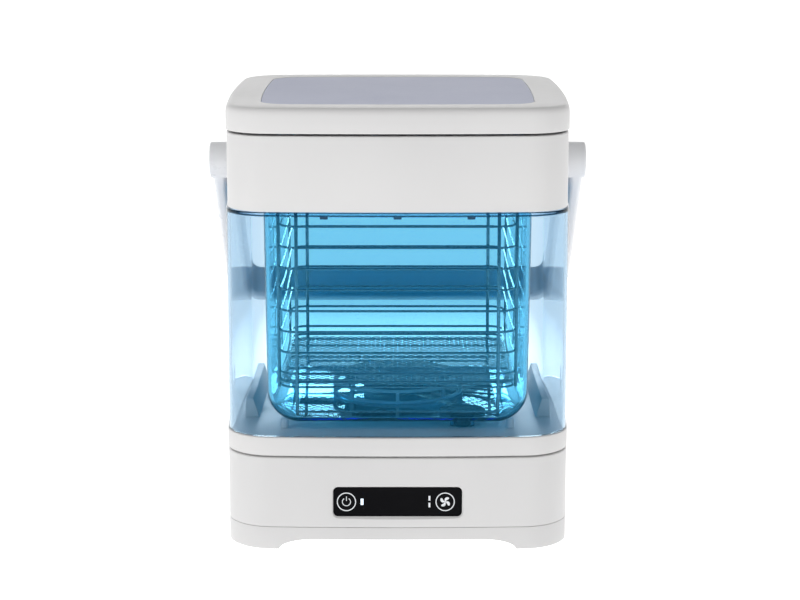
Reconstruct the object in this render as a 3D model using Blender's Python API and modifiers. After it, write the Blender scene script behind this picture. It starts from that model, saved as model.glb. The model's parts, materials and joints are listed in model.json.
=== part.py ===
"""Resin wash station: a drive base, a lift-off washing tank with a bail handle, a wire basket and a lid.

Metres, +Z up, front with the touch panel towards -Y. The origin is on the surface that the station
stands on, under the centre of its bounding box. The body's own upright axis is the empty "station": it
stands forward of the origin, because the handle hangs behind the body.
"""

import math

import bmesh
import bpy
from mathutils import Matrix, Vector

# ---------------------------------------------------------------- driving dimensions, in metres

GAP = 0.0003  # between pieces that touch
WALL = 0.0030  # moulded walls
REACH = 0.0010  # how far a cutter runs past the face that it cuts

# Plan of the body: a square with round corners and slightly bowed sides. Each casing is this plan,
# set in by its own amount.
HALF_BODY = 0.1462
CORNER = 0.0400
BOW = 0.0030
BASE_INSET = 0.0004
DECK_INSET = 0.0
SHELL_INSET = 0.0012
FRAME_INSET = 0.0023
LID_INSET = 0.0016
CORNER_STEPS = 4
SIDE_STEPS = 4
RING_COUNT = 4 * (CORNER_STEPS + SIDE_STEPS)

# Levels of the casings
CHASSIS_BOTTOM = 0.0010
ARCH_TOP = 0.0100
CHASSIS_FLOOR = 0.0140
CHASSIS_TOP = 0.0203
LIP_TOP = 0.0260
SHOULDER = 0.0802
PLINTH_TOP = 0.0939
DOME_TOP = 0.1040
DECK_BOTTOM = 0.0819
DECK_TOP = 0.0977
SHELL_LEDGE = 0.2857
NECK_TOP = 0.2960
FRAME_BOTTOM = 0.2860
FRAME_TOP = 0.3480
LID_BOTTOM = 0.3500
LID_TOP = 0.3710

# Base
ARCH_FLAT = 0.0700
ARCH_END = 0.0990
FOOT_PLACE = 0.1140
FOOT_RADIUS = 0.0080
FOOT_TOP = 0.0040
PLINTH_INSET = 0.0042  # from the plan's own outline
PLINTH_WALL = 0.0030
PLATE = 0.0029
DOME_RADIUS = 0.0560
CASE_SCREW_X = 0.0620
CASE_SCREW_Y = 0.1040
CASE_SCREW_SHAFT = 0.0015
CASE_SCREW_HEAD = 0.0035
CASE_SCREW_LEVEL = 0.0073
CASE_SCREW_HEAD_HEIGHT = 0.0024
CASE_SCREW_TIP = 0.0260
CASE_PILOT_TOP = 0.0280
BOSS_RADIUS = 0.0045

# Electrics
BOARD_BOTTOM = 0.0200
BOARD_THICKNESS = 0.0016
BOARD_FRONT_LEFT = (-0.0450, 0.0470)
BOARD_BACK_RIGHT = (0.0390, 0.1010)
BOARD_POSTS = ((-0.0400, 0.0520), (0.0340, 0.0520), (-0.0400, 0.0960), (0.0340, 0.0960))
BOARD_POST_RADIUS = 0.0030
BOARD_BLOCKS = (
    ("connector_block", (-0.0400, 0.0550), (-0.0200, 0.0620), 0.0090),
    ("driver_block", (-0.0100, 0.0700), (0.0060, 0.0860), 0.0040),
    ("capacitor_block", (0.0180, 0.0640), (0.0300, 0.0760), 0.0140),
)
INLET_LOW = (0.0380, 0.1316, 0.0345)
INLET_HIGH = (0.0520, 0.1452, 0.0455)
INLET_SOCKET_RADIUS = 0.0032
INLET_SOCKET_DEPTH = 0.0086
LEAD_RADIUS = 0.0012
MOTOR_LEAD = (
    (0.0120, 0.0210, 0.0480),
    (0.0140, 0.0340, 0.0460),
    (0.0060, 0.0460, 0.0380),
    (-0.0120, 0.0540, 0.0350),
    (-0.0300, 0.0585, 0.0335),
)
PANEL_LEAD = (
    (-0.0460, -0.1350, 0.0400),
    (-0.0480, -0.1080, 0.0340),
    (-0.0680, -0.0400, 0.0220),
    (-0.0700, 0.0300, 0.0220),
    (-0.0600, 0.0500, 0.0300),
    (-0.0415, 0.0585, 0.0280),
)

# Touch panel
PANEL_HALF_WIDTH = 0.0535
PANEL_HALF_HEIGHT = 0.0125
PANEL_LEVEL = 0.0425
PANEL_CORNER = 0.0040
PANEL_FRONT = 0.1442
PANEL_THICKNESS = 0.0018
PANEL_RIM = 0.0026
PANEL_PAD_MARGIN = 0.0036
PANEL_PAD_DEPTH = 0.0046
PANEL_BOARD_HALF_WIDTH = 0.0560
PANEL_BOARD_HALF_HEIGHT = 0.0115

# Drive
MOTOR_RADIUS = 0.0185
MOTOR_BOTTOM = 0.0440
BRACKET_BOTTOM = 0.0840
BRACKET_TOP = 0.0865
BRACKET_RADIUS = 0.0700
BRACKET_SCREW = 0.0450
BRACKET_SCREW_HEAD = 0.0030
BRACKET_SCREW_SHAFT = 0.0012
BRACKET_SCREW_HEAD_HEIGHT = 0.0022
BRACKET_SCREW_TIP = 0.0905
BRACKET_PILOT_TOP = 0.0912
BRACKET_BORE = 0.0080
MOTOR_COLLAR = 0.0060
SHAFT_RADIUS = 0.0025
SHAFT_BOTTOM = 0.0765
SHAFT_TOP = 0.0980
ROTOR_BOTTOM = 0.0890
ROTOR_TOP = 0.1000
ROTOR_RADIUS = 0.0450
DRIVE_MAGNET_RADIUS = 0.0080
DRIVE_MAGNET_PLACE = 0.0280
DRIVE_MAGNET_HEIGHT = 0.0050

# Side rails on the deck: section as (X, height above the deck), and its span in Y
RAIL_SECTION = ((0.1195, 0.0), (0.1328, 0.0), (0.1320, 0.0168), (0.1250, 0.0168))
RAIL_LENGTH = 0.1580
RAIL_MIDDLE = 0.0210

# Bucket
BUCKET_HALF_X = 0.1120
BUCKET_HALF_Y = 0.1240
BUCKET_CORNER = 0.0220
BUCKET_DRAFT = 0.0025
BUCKET_WALL = 0.0032
BUCKET_FLOOR = 0.0035
BUCKET_BOTTOM = 0.1058
FLANGE_BOTTOM = 0.3445
FLANGE_TOP = 0.3475
FLANGE_WIDTH = 0.0070
BOTTOM_ROUND_X = 0.0240
BOTTOM_ROUND_Y = 0.0065
BOTTOM_CORNER_LOSS = 0.0180
BUCKET_FOOT_X = 0.0950
BUCKET_FOOT_Y = 0.1030
BUCKET_FOOT_RADIUS = 0.0035
BUCKET_FOOT_TOP = 0.1062
DRAIN_X = 0.0550
DRAIN_Y = -0.0900
SPOUT_RADIUS = 0.0103
SPOUT_BORE = 0.0075
SPOUT_BOTTOM = 0.0946
PLUG_RADIUS = 0.0192
PLUG_TOP = 0.1126
PLUG_STEM_TAPER = 0.0985
PLUG_STEM_END = 0.0975

# Impeller and its cage
CAGE_RADIUS = 0.0570
CAGE_WALL = 0.0030
CAGE_BOTTOM = BUCKET_BOTTOM + BUCKET_FLOOR + GAP
CAGE_TOP = 0.1210
CAGE_WINDOW_HALF = 0.0205
IMPELLER_RADIUS = 0.0480
IMPELLER_BOTTOM = 0.1120
IMPELLER_TOP = 0.1275
HUB_TOP = 0.1290
CARRIER_RADIUS = 0.0300
CARRIER_TOP = 0.1180
BLADES = 6
BLADE_HALF = 0.0012
SPINDLE_RADIUS = 0.0020
SPINDLE_TOP = 0.1270
SPINDLE_FOOT = 0.0080
SPINDLE_FOOT_HEIGHT = 0.0014
HUB_RADIUS = 0.0100
IMPELLER_MAGNET_RADIUS = 0.0040
IMPELLER_MAGNET_PLACE = 0.0200
IMPELLER_MAGNET_HEIGHT = 0.0040

# Basket
RING_RADIUS = 0.0010
ROD_RADIUS = 0.0015
WELD = 0.0003
BASKET_HALF_X = 0.0978
BASKET_HALF_Y = 0.1098
BASKET_CORNER = 0.0138
FIRST_RING = 0.1455
RING_PITCH = 0.0177
SIDE_RINGS = 9
TOP_RING = FIRST_RING + SIDE_RINGS * RING_PITCH
ROD_OUT = RING_RADIUS + ROD_RADIUS - WELD  # rods stand outside the level wires
RING_JOINT = 0.0018  # from a front or back rod to the bent wire beside it
RIM_JOINT = 0.0025
FLOOR_INSET = WELD + GAP
RAIL_LOW = 0.1340
RAIL_HIGH = 0.1384
RING_LEVELS = [(RAIL_HIGH, RING_RADIUS)]
RING_LEVELS += [(FIRST_RING + RING_PITCH * number, RING_RADIUS) for number in range(SIDE_RINGS)]
RING_LEVELS += [(TOP_RING, ROD_RADIUS)]
LEG_END = 0.1106
FOOT_WIRE = 0.1140
MESH_LEVEL = 0.1362
MESH_THICKNESS = 0.0012
CROSS_BAR_PITCH = 0.0525
EYE_RADIUS = 0.0033
EYE_BORE = 0.0019
EYE_INNER = 0.0967
EYE_OUTER = 0.0990
BAIL_LEVEL = TOP_RING + 2 * ROD_RADIUS + GAP
BAIL_ARM = 0.0300
BAIL_X = 0.1013
BAIL_BEND = 0.0018

# Lid
WINDOW_HALF = 0.1150
WINDOW_CORNER = 0.0240
WINDOW_BOW = 0.0020
WINDOW_THICKNESS = 0.0026
WINDOW_TOP = 0.3708
WINDOW_LEDGE = 0.0100
LID_UNDERSIDE = 0.3650
LID_ROUND = 0.0055
COLLAR_BOTTOM = 0.3420
COLLAR_OUTER = 0.0040
COLLAR_INNER = 0.0062
GASKET_TOP = 0.3520
GASKET_REACH = 0.0062

# Handle
PIVOT_LEVEL = 0.3100
HANG_ANGLE = math.radians(40)
HANDLE_REACH = 0.2095
STRAP_WIDTH = 0.0310
STRAP_THICKNESS = 0.0120
STRAP_ROUND = 0.0040
ARM_X = 0.1556
BEND_RADIUS = 0.0260
HANDLE_BOSS_RADIUS = 0.0158
HANDLE_BOSS_INNER = 0.1460
HANDLE_BOSS_OUTER = 0.1636
PIN_RADIUS = 0.0050
PIN_HEAD = 0.0080
PIN_START = 0.1372
PIN_END = 0.1575
PIN_HEAD_THICKNESS = 0.0030
BUSHING_RADIUS = 0.0110

# The handle's crossbar is the rearmost point; the body stands forward by half of what it adds.
HANDLE_BACK = (HANDLE_REACH + STRAP_THICKNESS / 2) * math.cos(HANG_ANGLE)
HANDLE_BACK += (STRAP_WIDTH / 2 - STRAP_ROUND) * math.sin(HANG_ANGLE)
STATION_Y = -(HANDLE_BACK - HALF_BODY) / 2

# ---------------------------------------------------------------- scene, materials, placing


def clear_scene():
    for obj in list(bpy.data.objects):
        bpy.data.objects.remove(obj, do_unlink=True)


def new_collection(name):
    collection = bpy.data.collections.new(name)
    bpy.context.scene.collection.children.link(collection)
    return collection


def principled(name, colour, roughness, metallic=0.0, alpha=1.0, transmission=0.0):
    """A Principled material; `colour` is linear."""
    made = bpy.data.materials.new(name)
    made.use_nodes = True
    made.diffuse_color = (*colour, alpha)
    shader = made.node_tree.nodes["Principled BSDF"]
    shader.inputs["Base Color"].default_value = (*colour, 1.0)
    shader.inputs["Roughness"].default_value = roughness
    shader.inputs["Metallic"].default_value = metallic
    shader.inputs["Alpha"].default_value = alpha
    shader.inputs["Transmission Weight"].default_value = transmission
    return made


def axis_empty(name, place, parent=None, tilt=0.0):
    """An empty that carries pieces; `tilt` turns it about X."""
    empty = bpy.data.objects.new(name, None)
    empty.empty_display_size = 0.02
    empty.location = place
    empty.rotation_euler = (tilt, 0, 0)
    empty.parent = parent
    bpy.context.scene.collection.objects.link(empty)
    return empty


def mesh_object(name, work, look, parent, smooth=True):
    """Turns a bmesh into a named object with its faces pointing out."""
    bmesh.ops.recalc_face_normals(work, faces=work.faces)
    mesh = bpy.data.meshes.new(name)
    work.to_mesh(mesh)
    work.free()
    if smooth:
        mesh.shade_smooth()
        mesh.set_sharp_from_angle(angle=math.radians(35))
    obj = bpy.data.objects.new(name, mesh)
    obj.parent = parent
    if look is None:
        cutters.objects.link(obj)
        obj.hide_render = True
        obj.display_type = "WIRE"
    else:
        parts.objects.link(obj)
        mesh.materials.append(look)
    return obj


# ---------------------------------------------------------------- plans and lofts


def direction(angle):
    return Vector((math.cos(angle), math.sin(angle), 0))


def bowed_square(half, corner, bow):
    """Plan points as (anchor, direction, reach): side arcs that bow out meet the corner arcs in tangents.

    The side arc's centre lies `back` behind the plan's centre. The corner arc's centre is on the
    diagonal, where the distance between the two centres makes the arcs touch.
    """
    side = ((half - corner) ** 2 + bow**2) / (2 * bow)
    back = side - half
    centre = (math.sqrt(2 * (side - corner) ** 2 - back**2) - back) / 2
    join = math.atan2(centre, centre + back)
    plan = []
    for quarter in range(4):
        turn = quarter * math.pi / 2
        to_quarter = Matrix.Rotation(turn, 3, "Z")
        for step in range(CORNER_STEPS + 1):
            angle = turn + join + (math.pi / 2 - 2 * join) * step / CORNER_STEPS
            plan.append((to_quarter @ Vector((centre, centre, 0)), direction(angle), corner))
        for step in range(1, SIDE_STEPS):
            angle = turn + math.pi / 2 - join + 2 * join * step / SIDE_STEPS
            plan.append((to_quarter @ Vector((0, -back, 0)), direction(angle), side))
    return plan


def rounded_rectangle(half_x, half_y, corner):
    """Plan points of a straight-sided rectangle, one for each point of bowed_square."""
    plan = []
    for quarter, (sign_x, sign_y) in enumerate(((1, 1), (-1, 1), (-1, -1), (1, -1))):
        turn = quarter * math.pi / 2
        anchor = Vector((sign_x * (half_x - corner), sign_y * (half_y - corner), 0))
        for step in range(CORNER_STEPS + 1):
            plan.append((anchor, direction(turn + math.pi / 2 * step / CORNER_STEPS), corner))
        outward = direction(turn + math.pi / 2)
        along = direction(turn + math.pi)
        across, run = (half_y, half_x) if quarter % 2 == 0 else (half_x, half_y)
        for step in range(1, SIDE_STEPS):
            shift = (run - corner) * (2 * step / SIDE_STEPS - 1)
            plan.append((outward * (across - corner) + along * shift, outward, corner))
    return plan


def round_plan(radius):
    """Plan points of a circle, with one on each diagonal as the squares have."""
    start = math.pi / 4 - math.pi * CORNER_STEPS / RING_COUNT
    return [
        (Vector((0, 0, 0)), direction(start + 2 * math.pi * step / RING_COUNT), radius)
        for step in range(RING_COUNT)
    ]


def ring(plan, inset, level):
    """The plan's outline, moved in by `inset` all round, at a height."""
    return [anchor + heading * (reach - inset) + Vector((0, 0, level)) for anchor, heading, reach in plan]


def rounded_edge(plan, inset, level, radius, steps=2):
    """Rings of a quarter-round that starts on a wall `radius` under `level` and ends flat at `level`."""
    angles = [math.pi / 2 * step / steps for step in range(steps + 1)]
    return [
        ring(plan, inset + radius * (1 - math.cos(a)), level - radius * (1 - math.sin(a))) for a in angles
    ]


def loft(name, rings, look, parent, closed=False, smooth=True):
    """A solid whose skin runs through the rings in turn: capped at both ends, or joined end to start."""
    work = bmesh.new()
    loops = [[work.verts.new(point) for point in points] for points in rings]
    neighbours = list(zip(loops, loops[1:]))
    if closed:
        neighbours.append((loops[-1], loops[0]))
    else:
        work.faces.new(loops[0])
        work.faces.new(loops[-1])
    for first, second in neighbours:
        for step in range(len(first)):
            work.faces.new((first[step - 1], first[step], second[step], second[step - 1]))
    return mesh_object(name, work, look, parent, smooth)


def casing(name, section, look, closed=True):
    """A moulded casing: its section is a list of (plan, inset, level), swept round the plan."""
    return loft(name, [ring(*stop) for stop in section], look, station, closed)


def outline_solid(name, outline, depth, look, parent, place=(0, 0, 0), turn=(0, 0, 0)):
    """A flat outline in X and Y, extruded by half its depth to each side."""
    work = bmesh.new()
    base = work.faces.new([work.verts.new((x, y, -depth / 2)) for x, y in outline])
    top = bmesh.ops.extrude_face_region(work, geom=[base])
    raised = [item for item in top["geom"] if isinstance(item, bmesh.types.BMVert)]
    bmesh.ops.translate(work, verts=raised, vec=(0, 0, depth))
    obj = mesh_object(name, work, look, parent, smooth=False)
    obj.location = place
    obj.rotation_euler = turn
    return obj


def box(name, low, high, look, parent=None, turn=0.0):
    """An upright box between two corners, turned by `turn` about the axis it is parented to."""
    work = bmesh.new()
    bmesh.ops.create_cube(work, size=1)
    sizes = [b - a for a, b in zip(low, high)]
    bmesh.ops.scale(work, verts=work.verts, vec=sizes)
    bmesh.ops.translate(work, verts=work.verts, vec=[(a + b) / 2 for a, b in zip(low, high)])
    obj = mesh_object(name, work, look, parent or station, smooth=False)
    obj.rotation_euler = (0, 0, turn)
    return obj


def cylinder(name, radius, bottom, top, look, place=(0, 0), parent=None, sides=16):
    """An upright cylinder between two levels."""
    work = bmesh.new()
    bmesh.ops.create_cone(
        work, cap_ends=True, segments=sides, radius1=radius, radius2=radius, depth=top - bottom
    )
    obj = mesh_object(name, work, look, parent or station)
    obj.location = (*place, (bottom + top) / 2)
    return obj


def along_x(name, radius, start, end, look, parent, level=0.0, sides=16):
    """A cylinder on an axis along X, between two values of X."""
    half = abs(end - start) / 2
    obj = cylinder(name, radius, -half, half, look, parent=parent, sides=sides)
    obj.location = ((start + end) / 2, 0, level)
    obj.rotation_euler = (0, math.pi / 2, 0)
    return obj


def turned(name, profile, look, parent=None, steps=24):
    """A turned piece: its outer profile (radius, level), from top to bottom, on a Screw modifier."""
    mesh = bpy.data.meshes.new(name)
    edges = [(step, step + 1) for step in range(len(profile) - 1)]
    mesh.from_pydata([(radius, 0, level) for radius, level in profile], edges, [])
    obj = bpy.data.objects.new(name, mesh)
    obj.parent = parent or station
    parts.objects.link(obj)
    mesh.materials.append(look)
    screw = obj.modifiers.new("turn", "SCREW")
    screw.angle = 2 * math.pi
    screw.steps = steps
    screw.render_steps = steps
    screw.use_merge_vertices = True
    screw.merge_threshold = 0.00001
    screw.use_smooth_shade = False
    return obj


def wire(name, points, radius, look, parent, cyclic=False, resolution=1):
    """A wire along points, as a closed mesh that can be cut and joined."""
    curve = bpy.data.curves.new(name, "CURVE")
    curve.dimensions = "3D"
    curve.bevel_depth = radius
    curve.bevel_resolution = resolution
    curve.use_fill_caps = not cyclic
    spline = curve.splines.new("POLY")
    spline.points.add(len(points) - 1)
    for target, point in zip(spline.points, points):
        target.co = (*point, 1)
    spline.use_cyclic_u = cyclic
    return curve_to_mesh(name, curve, look, parent)


def curve_to_mesh(name, curve, look, parent):
    """Replaces a curve by its mesh, with the loose caps welded on."""
    source = bpy.data.objects.new(name + "_curve", curve)
    bpy.context.scene.collection.objects.link(source)
    graph = bpy.context.evaluated_depsgraph_get()
    mesh = bpy.data.meshes.new_from_object(source.evaluated_get(graph))
    work = bmesh.new()
    work.from_mesh(mesh)
    bmesh.ops.remove_doubles(work, verts=work.verts, dist=0.00001)
    bpy.data.objects.remove(source)
    bpy.data.curves.remove(curve)
    bpy.data.meshes.remove(mesh)
    return mesh_object(name, work, look, parent)


def combine(target, other, operation):
    """A Boolean with one tool, which stays in the cutters' collection."""
    modifier = target.modifiers.new(operation.lower() + "_" + other.name, "BOOLEAN")
    modifier.operation = operation
    modifier.solver = "EXACT"
    modifier.object = other
    return target


def cut(target, *others):
    for other in others:
        combine(target, other, "DIFFERENCE")
    return target


def join(target, *others):
    for other in others:
        combine(target, other, "UNION")
    return target


def four_corners(x, y):
    return [(x, y), (-x, y), (-x, -y), (x, -y)]


def screw_profile(head, shaft, head_level, head_height, tip_level):
    """Profile of a screw that points up, head down."""
    return [
        (0, tip_level),
        (shaft, tip_level),
        (shaft, head_level + head_height),
        (head, head_level + head_height),
        (head, head_level),
        (0, head_level),
    ]


# ---------------------------------------------------------------- base


def make_chassis():
    """Bottom tray: corner feet, a floor with arches under it, a lip that the housing sits over."""
    lip = BASE_INSET + WALL + GAP
    section = [
        (body, BASE_INSET + 0.0008, CHASSIS_BOTTOM),
        (body, BASE_INSET, CHASSIS_BOTTOM + 0.0008),
        (body, BASE_INSET, CHASSIS_TOP),
        (body, lip, CHASSIS_TOP),
        (body, lip, LIP_TOP),
        (body, lip + 0.0022, LIP_TOP),
        (body, lip + 0.0022, CHASSIS_FLOOR),
    ]
    chassis = casing("bottom_chassis", section, white, closed=False)
    depth = 3 * HALF_BODY
    for name, turn in (("arch_front_back", 0.0), ("arch_left_right", math.pi / 2)):
        cut(chassis, outline_solid(name, arch_outline(), depth, None, station, turn=(math.pi / 2, 0, turn)))
    for number, place in enumerate(four_corners(FOOT_PLACE, FOOT_PLACE)):
        pocket = cylinder(f"foot_pocket_{number}", FOOT_RADIUS + GAP, 0, FOOT_TOP + GAP, None, place)
        cut(chassis, pocket)
    for number, place in enumerate(four_corners(CASE_SCREW_X, CASE_SCREW_Y)):
        bore = CASE_SCREW_SHAFT + GAP
        cut(chassis, cylinder(f"chassis_hole_{number}", bore, 0, CHASSIS_FLOOR + REACH, None, place, sides=8))
    for number, place in enumerate(BOARD_POSTS):
        foot, top = CHASSIS_FLOOR - REACH, BOARD_BOTTOM - GAP
        join(chassis, cylinder(f"board_post_{number}", BOARD_POST_RADIUS, foot, top, None, place, sides=8))


def arch_outline():
    """Opening under the body: flat in the middle, then a quarter-ellipse down to each foot."""
    rise = ARCH_TOP - CHASSIS_BOTTOM
    steps = 5
    right = []
    for step in range(steps + 1):
        angle = math.pi / 2 * step / steps
        x = ARCH_FLAT + (ARCH_END - ARCH_FLAT) * math.cos(angle)
        right.append((x, CHASSIS_BOTTOM + rise * math.sin(angle)))
    right.insert(0, (ARCH_END, -0.005))
    return right + [(-x, y) for x, y in reversed(right)]


def make_housing():
    """Base housing, open below: shoulder, plinth that enters the deck, and a dome over the magnets."""
    inner = PLINTH_INSET + PLINTH_WALL
    inner_wall = BASE_INSET + WALL
    section = [
        (round_plan(DOME_RADIUS - PLATE), 0, DOME_TOP - PLATE + 0.0005),
        (round_plan(DOME_RADIUS - PLATE), 0, PLINTH_TOP - PLATE),
        (body, inner, PLINTH_TOP - PLATE),
        (body, inner, SHOULDER - PLATE),
        (body, inner_wall, SHOULDER - PLATE),
        (body, inner_wall, CHASSIS_TOP + GAP),
        (body, BASE_INSET, CHASSIS_TOP + GAP),
        (body, BASE_INSET, SHOULDER - 0.0008),
        (body, BASE_INSET + 0.0008, SHOULDER),
        (body, PLINTH_INSET, SHOULDER),
        (body, PLINTH_INSET, PLINTH_TOP - 0.0007),
        (body, PLINTH_INSET + 0.0007, PLINTH_TOP),
        (round_plan(DOME_RADIUS), 0, PLINTH_TOP),
        (round_plan(DOME_RADIUS), 0, DOME_TOP - 0.0008),
        (round_plan(DOME_RADIUS), 0.0008, DOME_TOP),
    ]
    housing = casing("base_housing", section, white, closed=False)
    screws = (
        ("case", four_corners(CASE_SCREW_X, CASE_SCREW_Y), CHASSIS_FLOOR, CASE_PILOT_TOP),
        ("bracket", four_corners(BRACKET_SCREW, BRACKET_SCREW), BRACKET_TOP, BRACKET_PILOT_TOP),
    )
    for kind, places, foot, pilot_top in screws:
        for number, place in enumerate(places):
            name = f"{kind}_boss_{number}"
            join(housing, cylinder(name, BOSS_RADIUS, foot + GAP, PLINTH_TOP - REACH, None, place))
            bore = CASE_SCREW_SHAFT + GAP
            cut(housing, cylinder(f"{kind}_pilot_{number}", bore, foot, pilot_top, None, place, sides=8))
    join(housing, panel_pad())
    cut(housing, *panel_openings())
    low = (INLET_LOW[0] - GAP, INLET_LOW[1], INLET_LOW[2] - GAP)
    high = (INLET_HIGH[0] + GAP, HALF_BODY + REACH, INLET_HIGH[2] + GAP)
    cut(housing, box("inlet_opening", low, high, None))


def panel_pad():
    """Thicker wall behind the touch panel."""
    half_width = PANEL_HALF_WIDTH + PANEL_PAD_MARGIN
    half_height = PANEL_HALF_HEIGHT + PANEL_PAD_MARGIN
    low = (-half_width, -PANEL_FRONT, PANEL_LEVEL - half_height)
    high = (half_width, -PANEL_FRONT + PANEL_PAD_DEPTH, PANEL_LEVEL + half_height)
    return box("panel_pad", low, high, None)


def panel_openings():
    """Bevelled rim, seat of the glass and the window behind it; each faces the front.

    A tool grows from its first margin round the glass at its back to its second at its front.
    """
    back = PANEL_FRONT - PANEL_THICKNESS - GAP
    ledge = -0.0030
    spans = (
        ("panel_rim", 0.0, PANEL_RIM + 0.0014, PANEL_FRONT - GAP, HALF_BODY + REACH),
        ("panel_seat", GAP, GAP, back, PANEL_FRONT + REACH),
        ("panel_window", ledge, ledge, PANEL_FRONT - 4 * PANEL_PAD_DEPTH, PANEL_FRONT),
    )
    tools = []
    for name, near, far, start, end in spans:
        rings = []
        for margin, level in ((near, start), (far, end)):
            half_width, half_height = PANEL_HALF_WIDTH + margin, PANEL_HALF_HEIGHT + margin
            plan = rounded_rectangle(half_width, half_height, PANEL_CORNER + margin)
            rings.append(ring(plan, 0, level))
        tool = loft(name, rings, None, station, smooth=False)
        tool.location = (0, 0, PANEL_LEVEL)
        tool.rotation_euler = (math.pi / 2, 0, 0)
        tools.append(tool)
    return tools


def make_panel():
    """Touch glass in its recess and the key board behind the window."""
    plan = rounded_rectangle(PANEL_HALF_WIDTH, PANEL_HALF_HEIGHT, PANEL_CORNER)
    back = PANEL_FRONT - PANEL_THICKNESS
    glass = loft("panel_glass", [ring(plan, 0, back), ring(plan, 0, PANEL_FRONT)], black_glass, station)
    board_plan = rounded_rectangle(PANEL_BOARD_HALF_WIDTH, PANEL_BOARD_HALF_HEIGHT, PANEL_CORNER / 2)
    board_front = PANEL_FRONT - PANEL_PAD_DEPTH - GAP
    rings = [ring(board_plan, 0, board_front - BOARD_THICKNESS), ring(board_plan, 0, board_front)]
    board = loft("panel_board", rings, board_green, station)
    for obj in (glass, board):
        obj.location = (0, 0, PANEL_LEVEL)
        obj.rotation_euler = (math.pi / 2, 0, 0)


def make_feet_and_case_screws():
    for number, place in enumerate(four_corners(FOOT_PLACE, FOOT_PLACE), 1):
        cylinder(f"rubber_foot_{number}", FOOT_RADIUS, 0, FOOT_TOP, rubber, place)
    profile = screw_profile(
        CASE_SCREW_HEAD, CASE_SCREW_SHAFT, CASE_SCREW_LEVEL, CASE_SCREW_HEAD_HEIGHT, CASE_SCREW_TIP
    )
    for number, place in enumerate(four_corners(CASE_SCREW_X, CASE_SCREW_Y), 1):
        screw = turned(f"case_screw_{number}", profile, steel, steps=8)
        screw.location = (*place, 0)


def make_electrics():
    """Control board on its posts, the power inlet in the back wall, and the two inner leads."""
    top = BOARD_BOTTOM + BOARD_THICKNESS
    board = box("control_board", (*BOARD_FRONT_LEFT, BOARD_BOTTOM), (*BOARD_BACK_RIGHT, top), board_green)
    for name, front_left, back_right, height in BOARD_BLOCKS:
        join(board, box(name, (*front_left, top - REACH / 2), (*back_right, top + height), None))
    inlet = box("power_inlet", INLET_LOW, INLET_HIGH, black_plastic)
    half = INLET_SOCKET_DEPTH / 2 + REACH
    socket = cylinder("inlet_socket", INLET_SOCKET_RADIUS, -half, half, None)
    middle_x, middle_z = (INLET_LOW[0] + INLET_HIGH[0]) / 2, (INLET_LOW[2] + INLET_HIGH[2]) / 2
    socket.location = (middle_x, INLET_HIGH[1] - INLET_SOCKET_DEPTH / 2 + REACH, middle_z)
    socket.rotation_euler = (math.pi / 2, 0, 0)
    cut(inlet, socket)
    wire("motor_lead", MOTOR_LEAD, LEAD_RADIUS, black_plastic, station)
    wire("panel_lead", PANEL_LEAD, LEAD_RADIUS, black_plastic, station)


def make_drive():
    """Motor under its bracket, and the magnet rotor that turns inside the dome."""
    bore = SHAFT_RADIUS + GAP
    profile = [
        (bore, BRACKET_TOP - 0.0005),
        (MOTOR_COLLAR, BRACKET_TOP - 0.0005),
        (MOTOR_COLLAR, BRACKET_BOTTOM - GAP),
        (MOTOR_RADIUS, BRACKET_BOTTOM - GAP),
        (MOTOR_RADIUS, MOTOR_BOTTOM),
        (0, MOTOR_BOTTOM),
        (0, SHAFT_BOTTOM - 0.0005),
        (bore, SHAFT_BOTTOM - 0.0005),
        (bore, BRACKET_TOP - 0.0005),
    ]
    turned("motor", profile, steel, steps=20)
    profile = [
        (BRACKET_BORE, BRACKET_TOP),
        (BRACKET_RADIUS, BRACKET_TOP),
        (BRACKET_RADIUS, BRACKET_BOTTOM),
        (BRACKET_BORE, BRACKET_BOTTOM),
        (BRACKET_BORE, BRACKET_TOP),
    ]
    bracket = turned("motor_bracket", profile, steel)
    head_level = BRACKET_BOTTOM - GAP - BRACKET_SCREW_HEAD_HEIGHT
    screw = screw_profile(
        BRACKET_SCREW_HEAD, BRACKET_SCREW_SHAFT, head_level, BRACKET_SCREW_HEAD_HEIGHT, BRACKET_SCREW_TIP
    )
    for number, place in enumerate(four_corners(BRACKET_SCREW, BRACKET_SCREW), 1):
        bore = BRACKET_SCREW_SHAFT + GAP
        low, high = BRACKET_BOTTOM - REACH, BRACKET_TOP + REACH
        cut(bracket, cylinder(f"bracket_hole_{number}", bore, low, high, None, place, sides=8))
        turned(f"bracket_screw_{number}", screw, steel, steps=8).location = (*place, 0)
    cylinder("motor_shaft", SHAFT_RADIUS, SHAFT_BOTTOM, SHAFT_TOP, steel, parent=drive_axis, sides=20)
    bore = SHAFT_RADIUS + GAP
    profile = [
        (bore, ROTOR_TOP),
        (ROTOR_RADIUS, ROTOR_TOP),
        (ROTOR_RADIUS, ROTOR_TOP - 0.0070),
        (0.0140, ROTOR_TOP - 0.0070),
        (0.0100, ROTOR_BOTTOM),
        (bore, ROTOR_BOTTOM),
        (bore, ROTOR_TOP),
    ]
    rotor = turned("magnet_rotor", profile, black_plastic, drive_axis)
    floor = ROTOR_TOP - DRIVE_MAGNET_HEIGHT - GAP
    for number in range(4):
        place = direction(number * math.pi / 2).xy * DRIVE_MAGNET_PLACE
        name, radius = f"drive_pocket_{number}", DRIVE_MAGNET_RADIUS + GAP
        cut(rotor, cylinder(name, radius, floor, ROTOR_TOP + REACH, None, place, drive_axis, 12))
        name, radius = f"drive_magnet_{number + 1}", DRIVE_MAGNET_RADIUS
        cylinder(name, radius, floor + GAP, ROTOR_TOP, steel, place, drive_axis, 12)


# ---------------------------------------------------------------- tank


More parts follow.
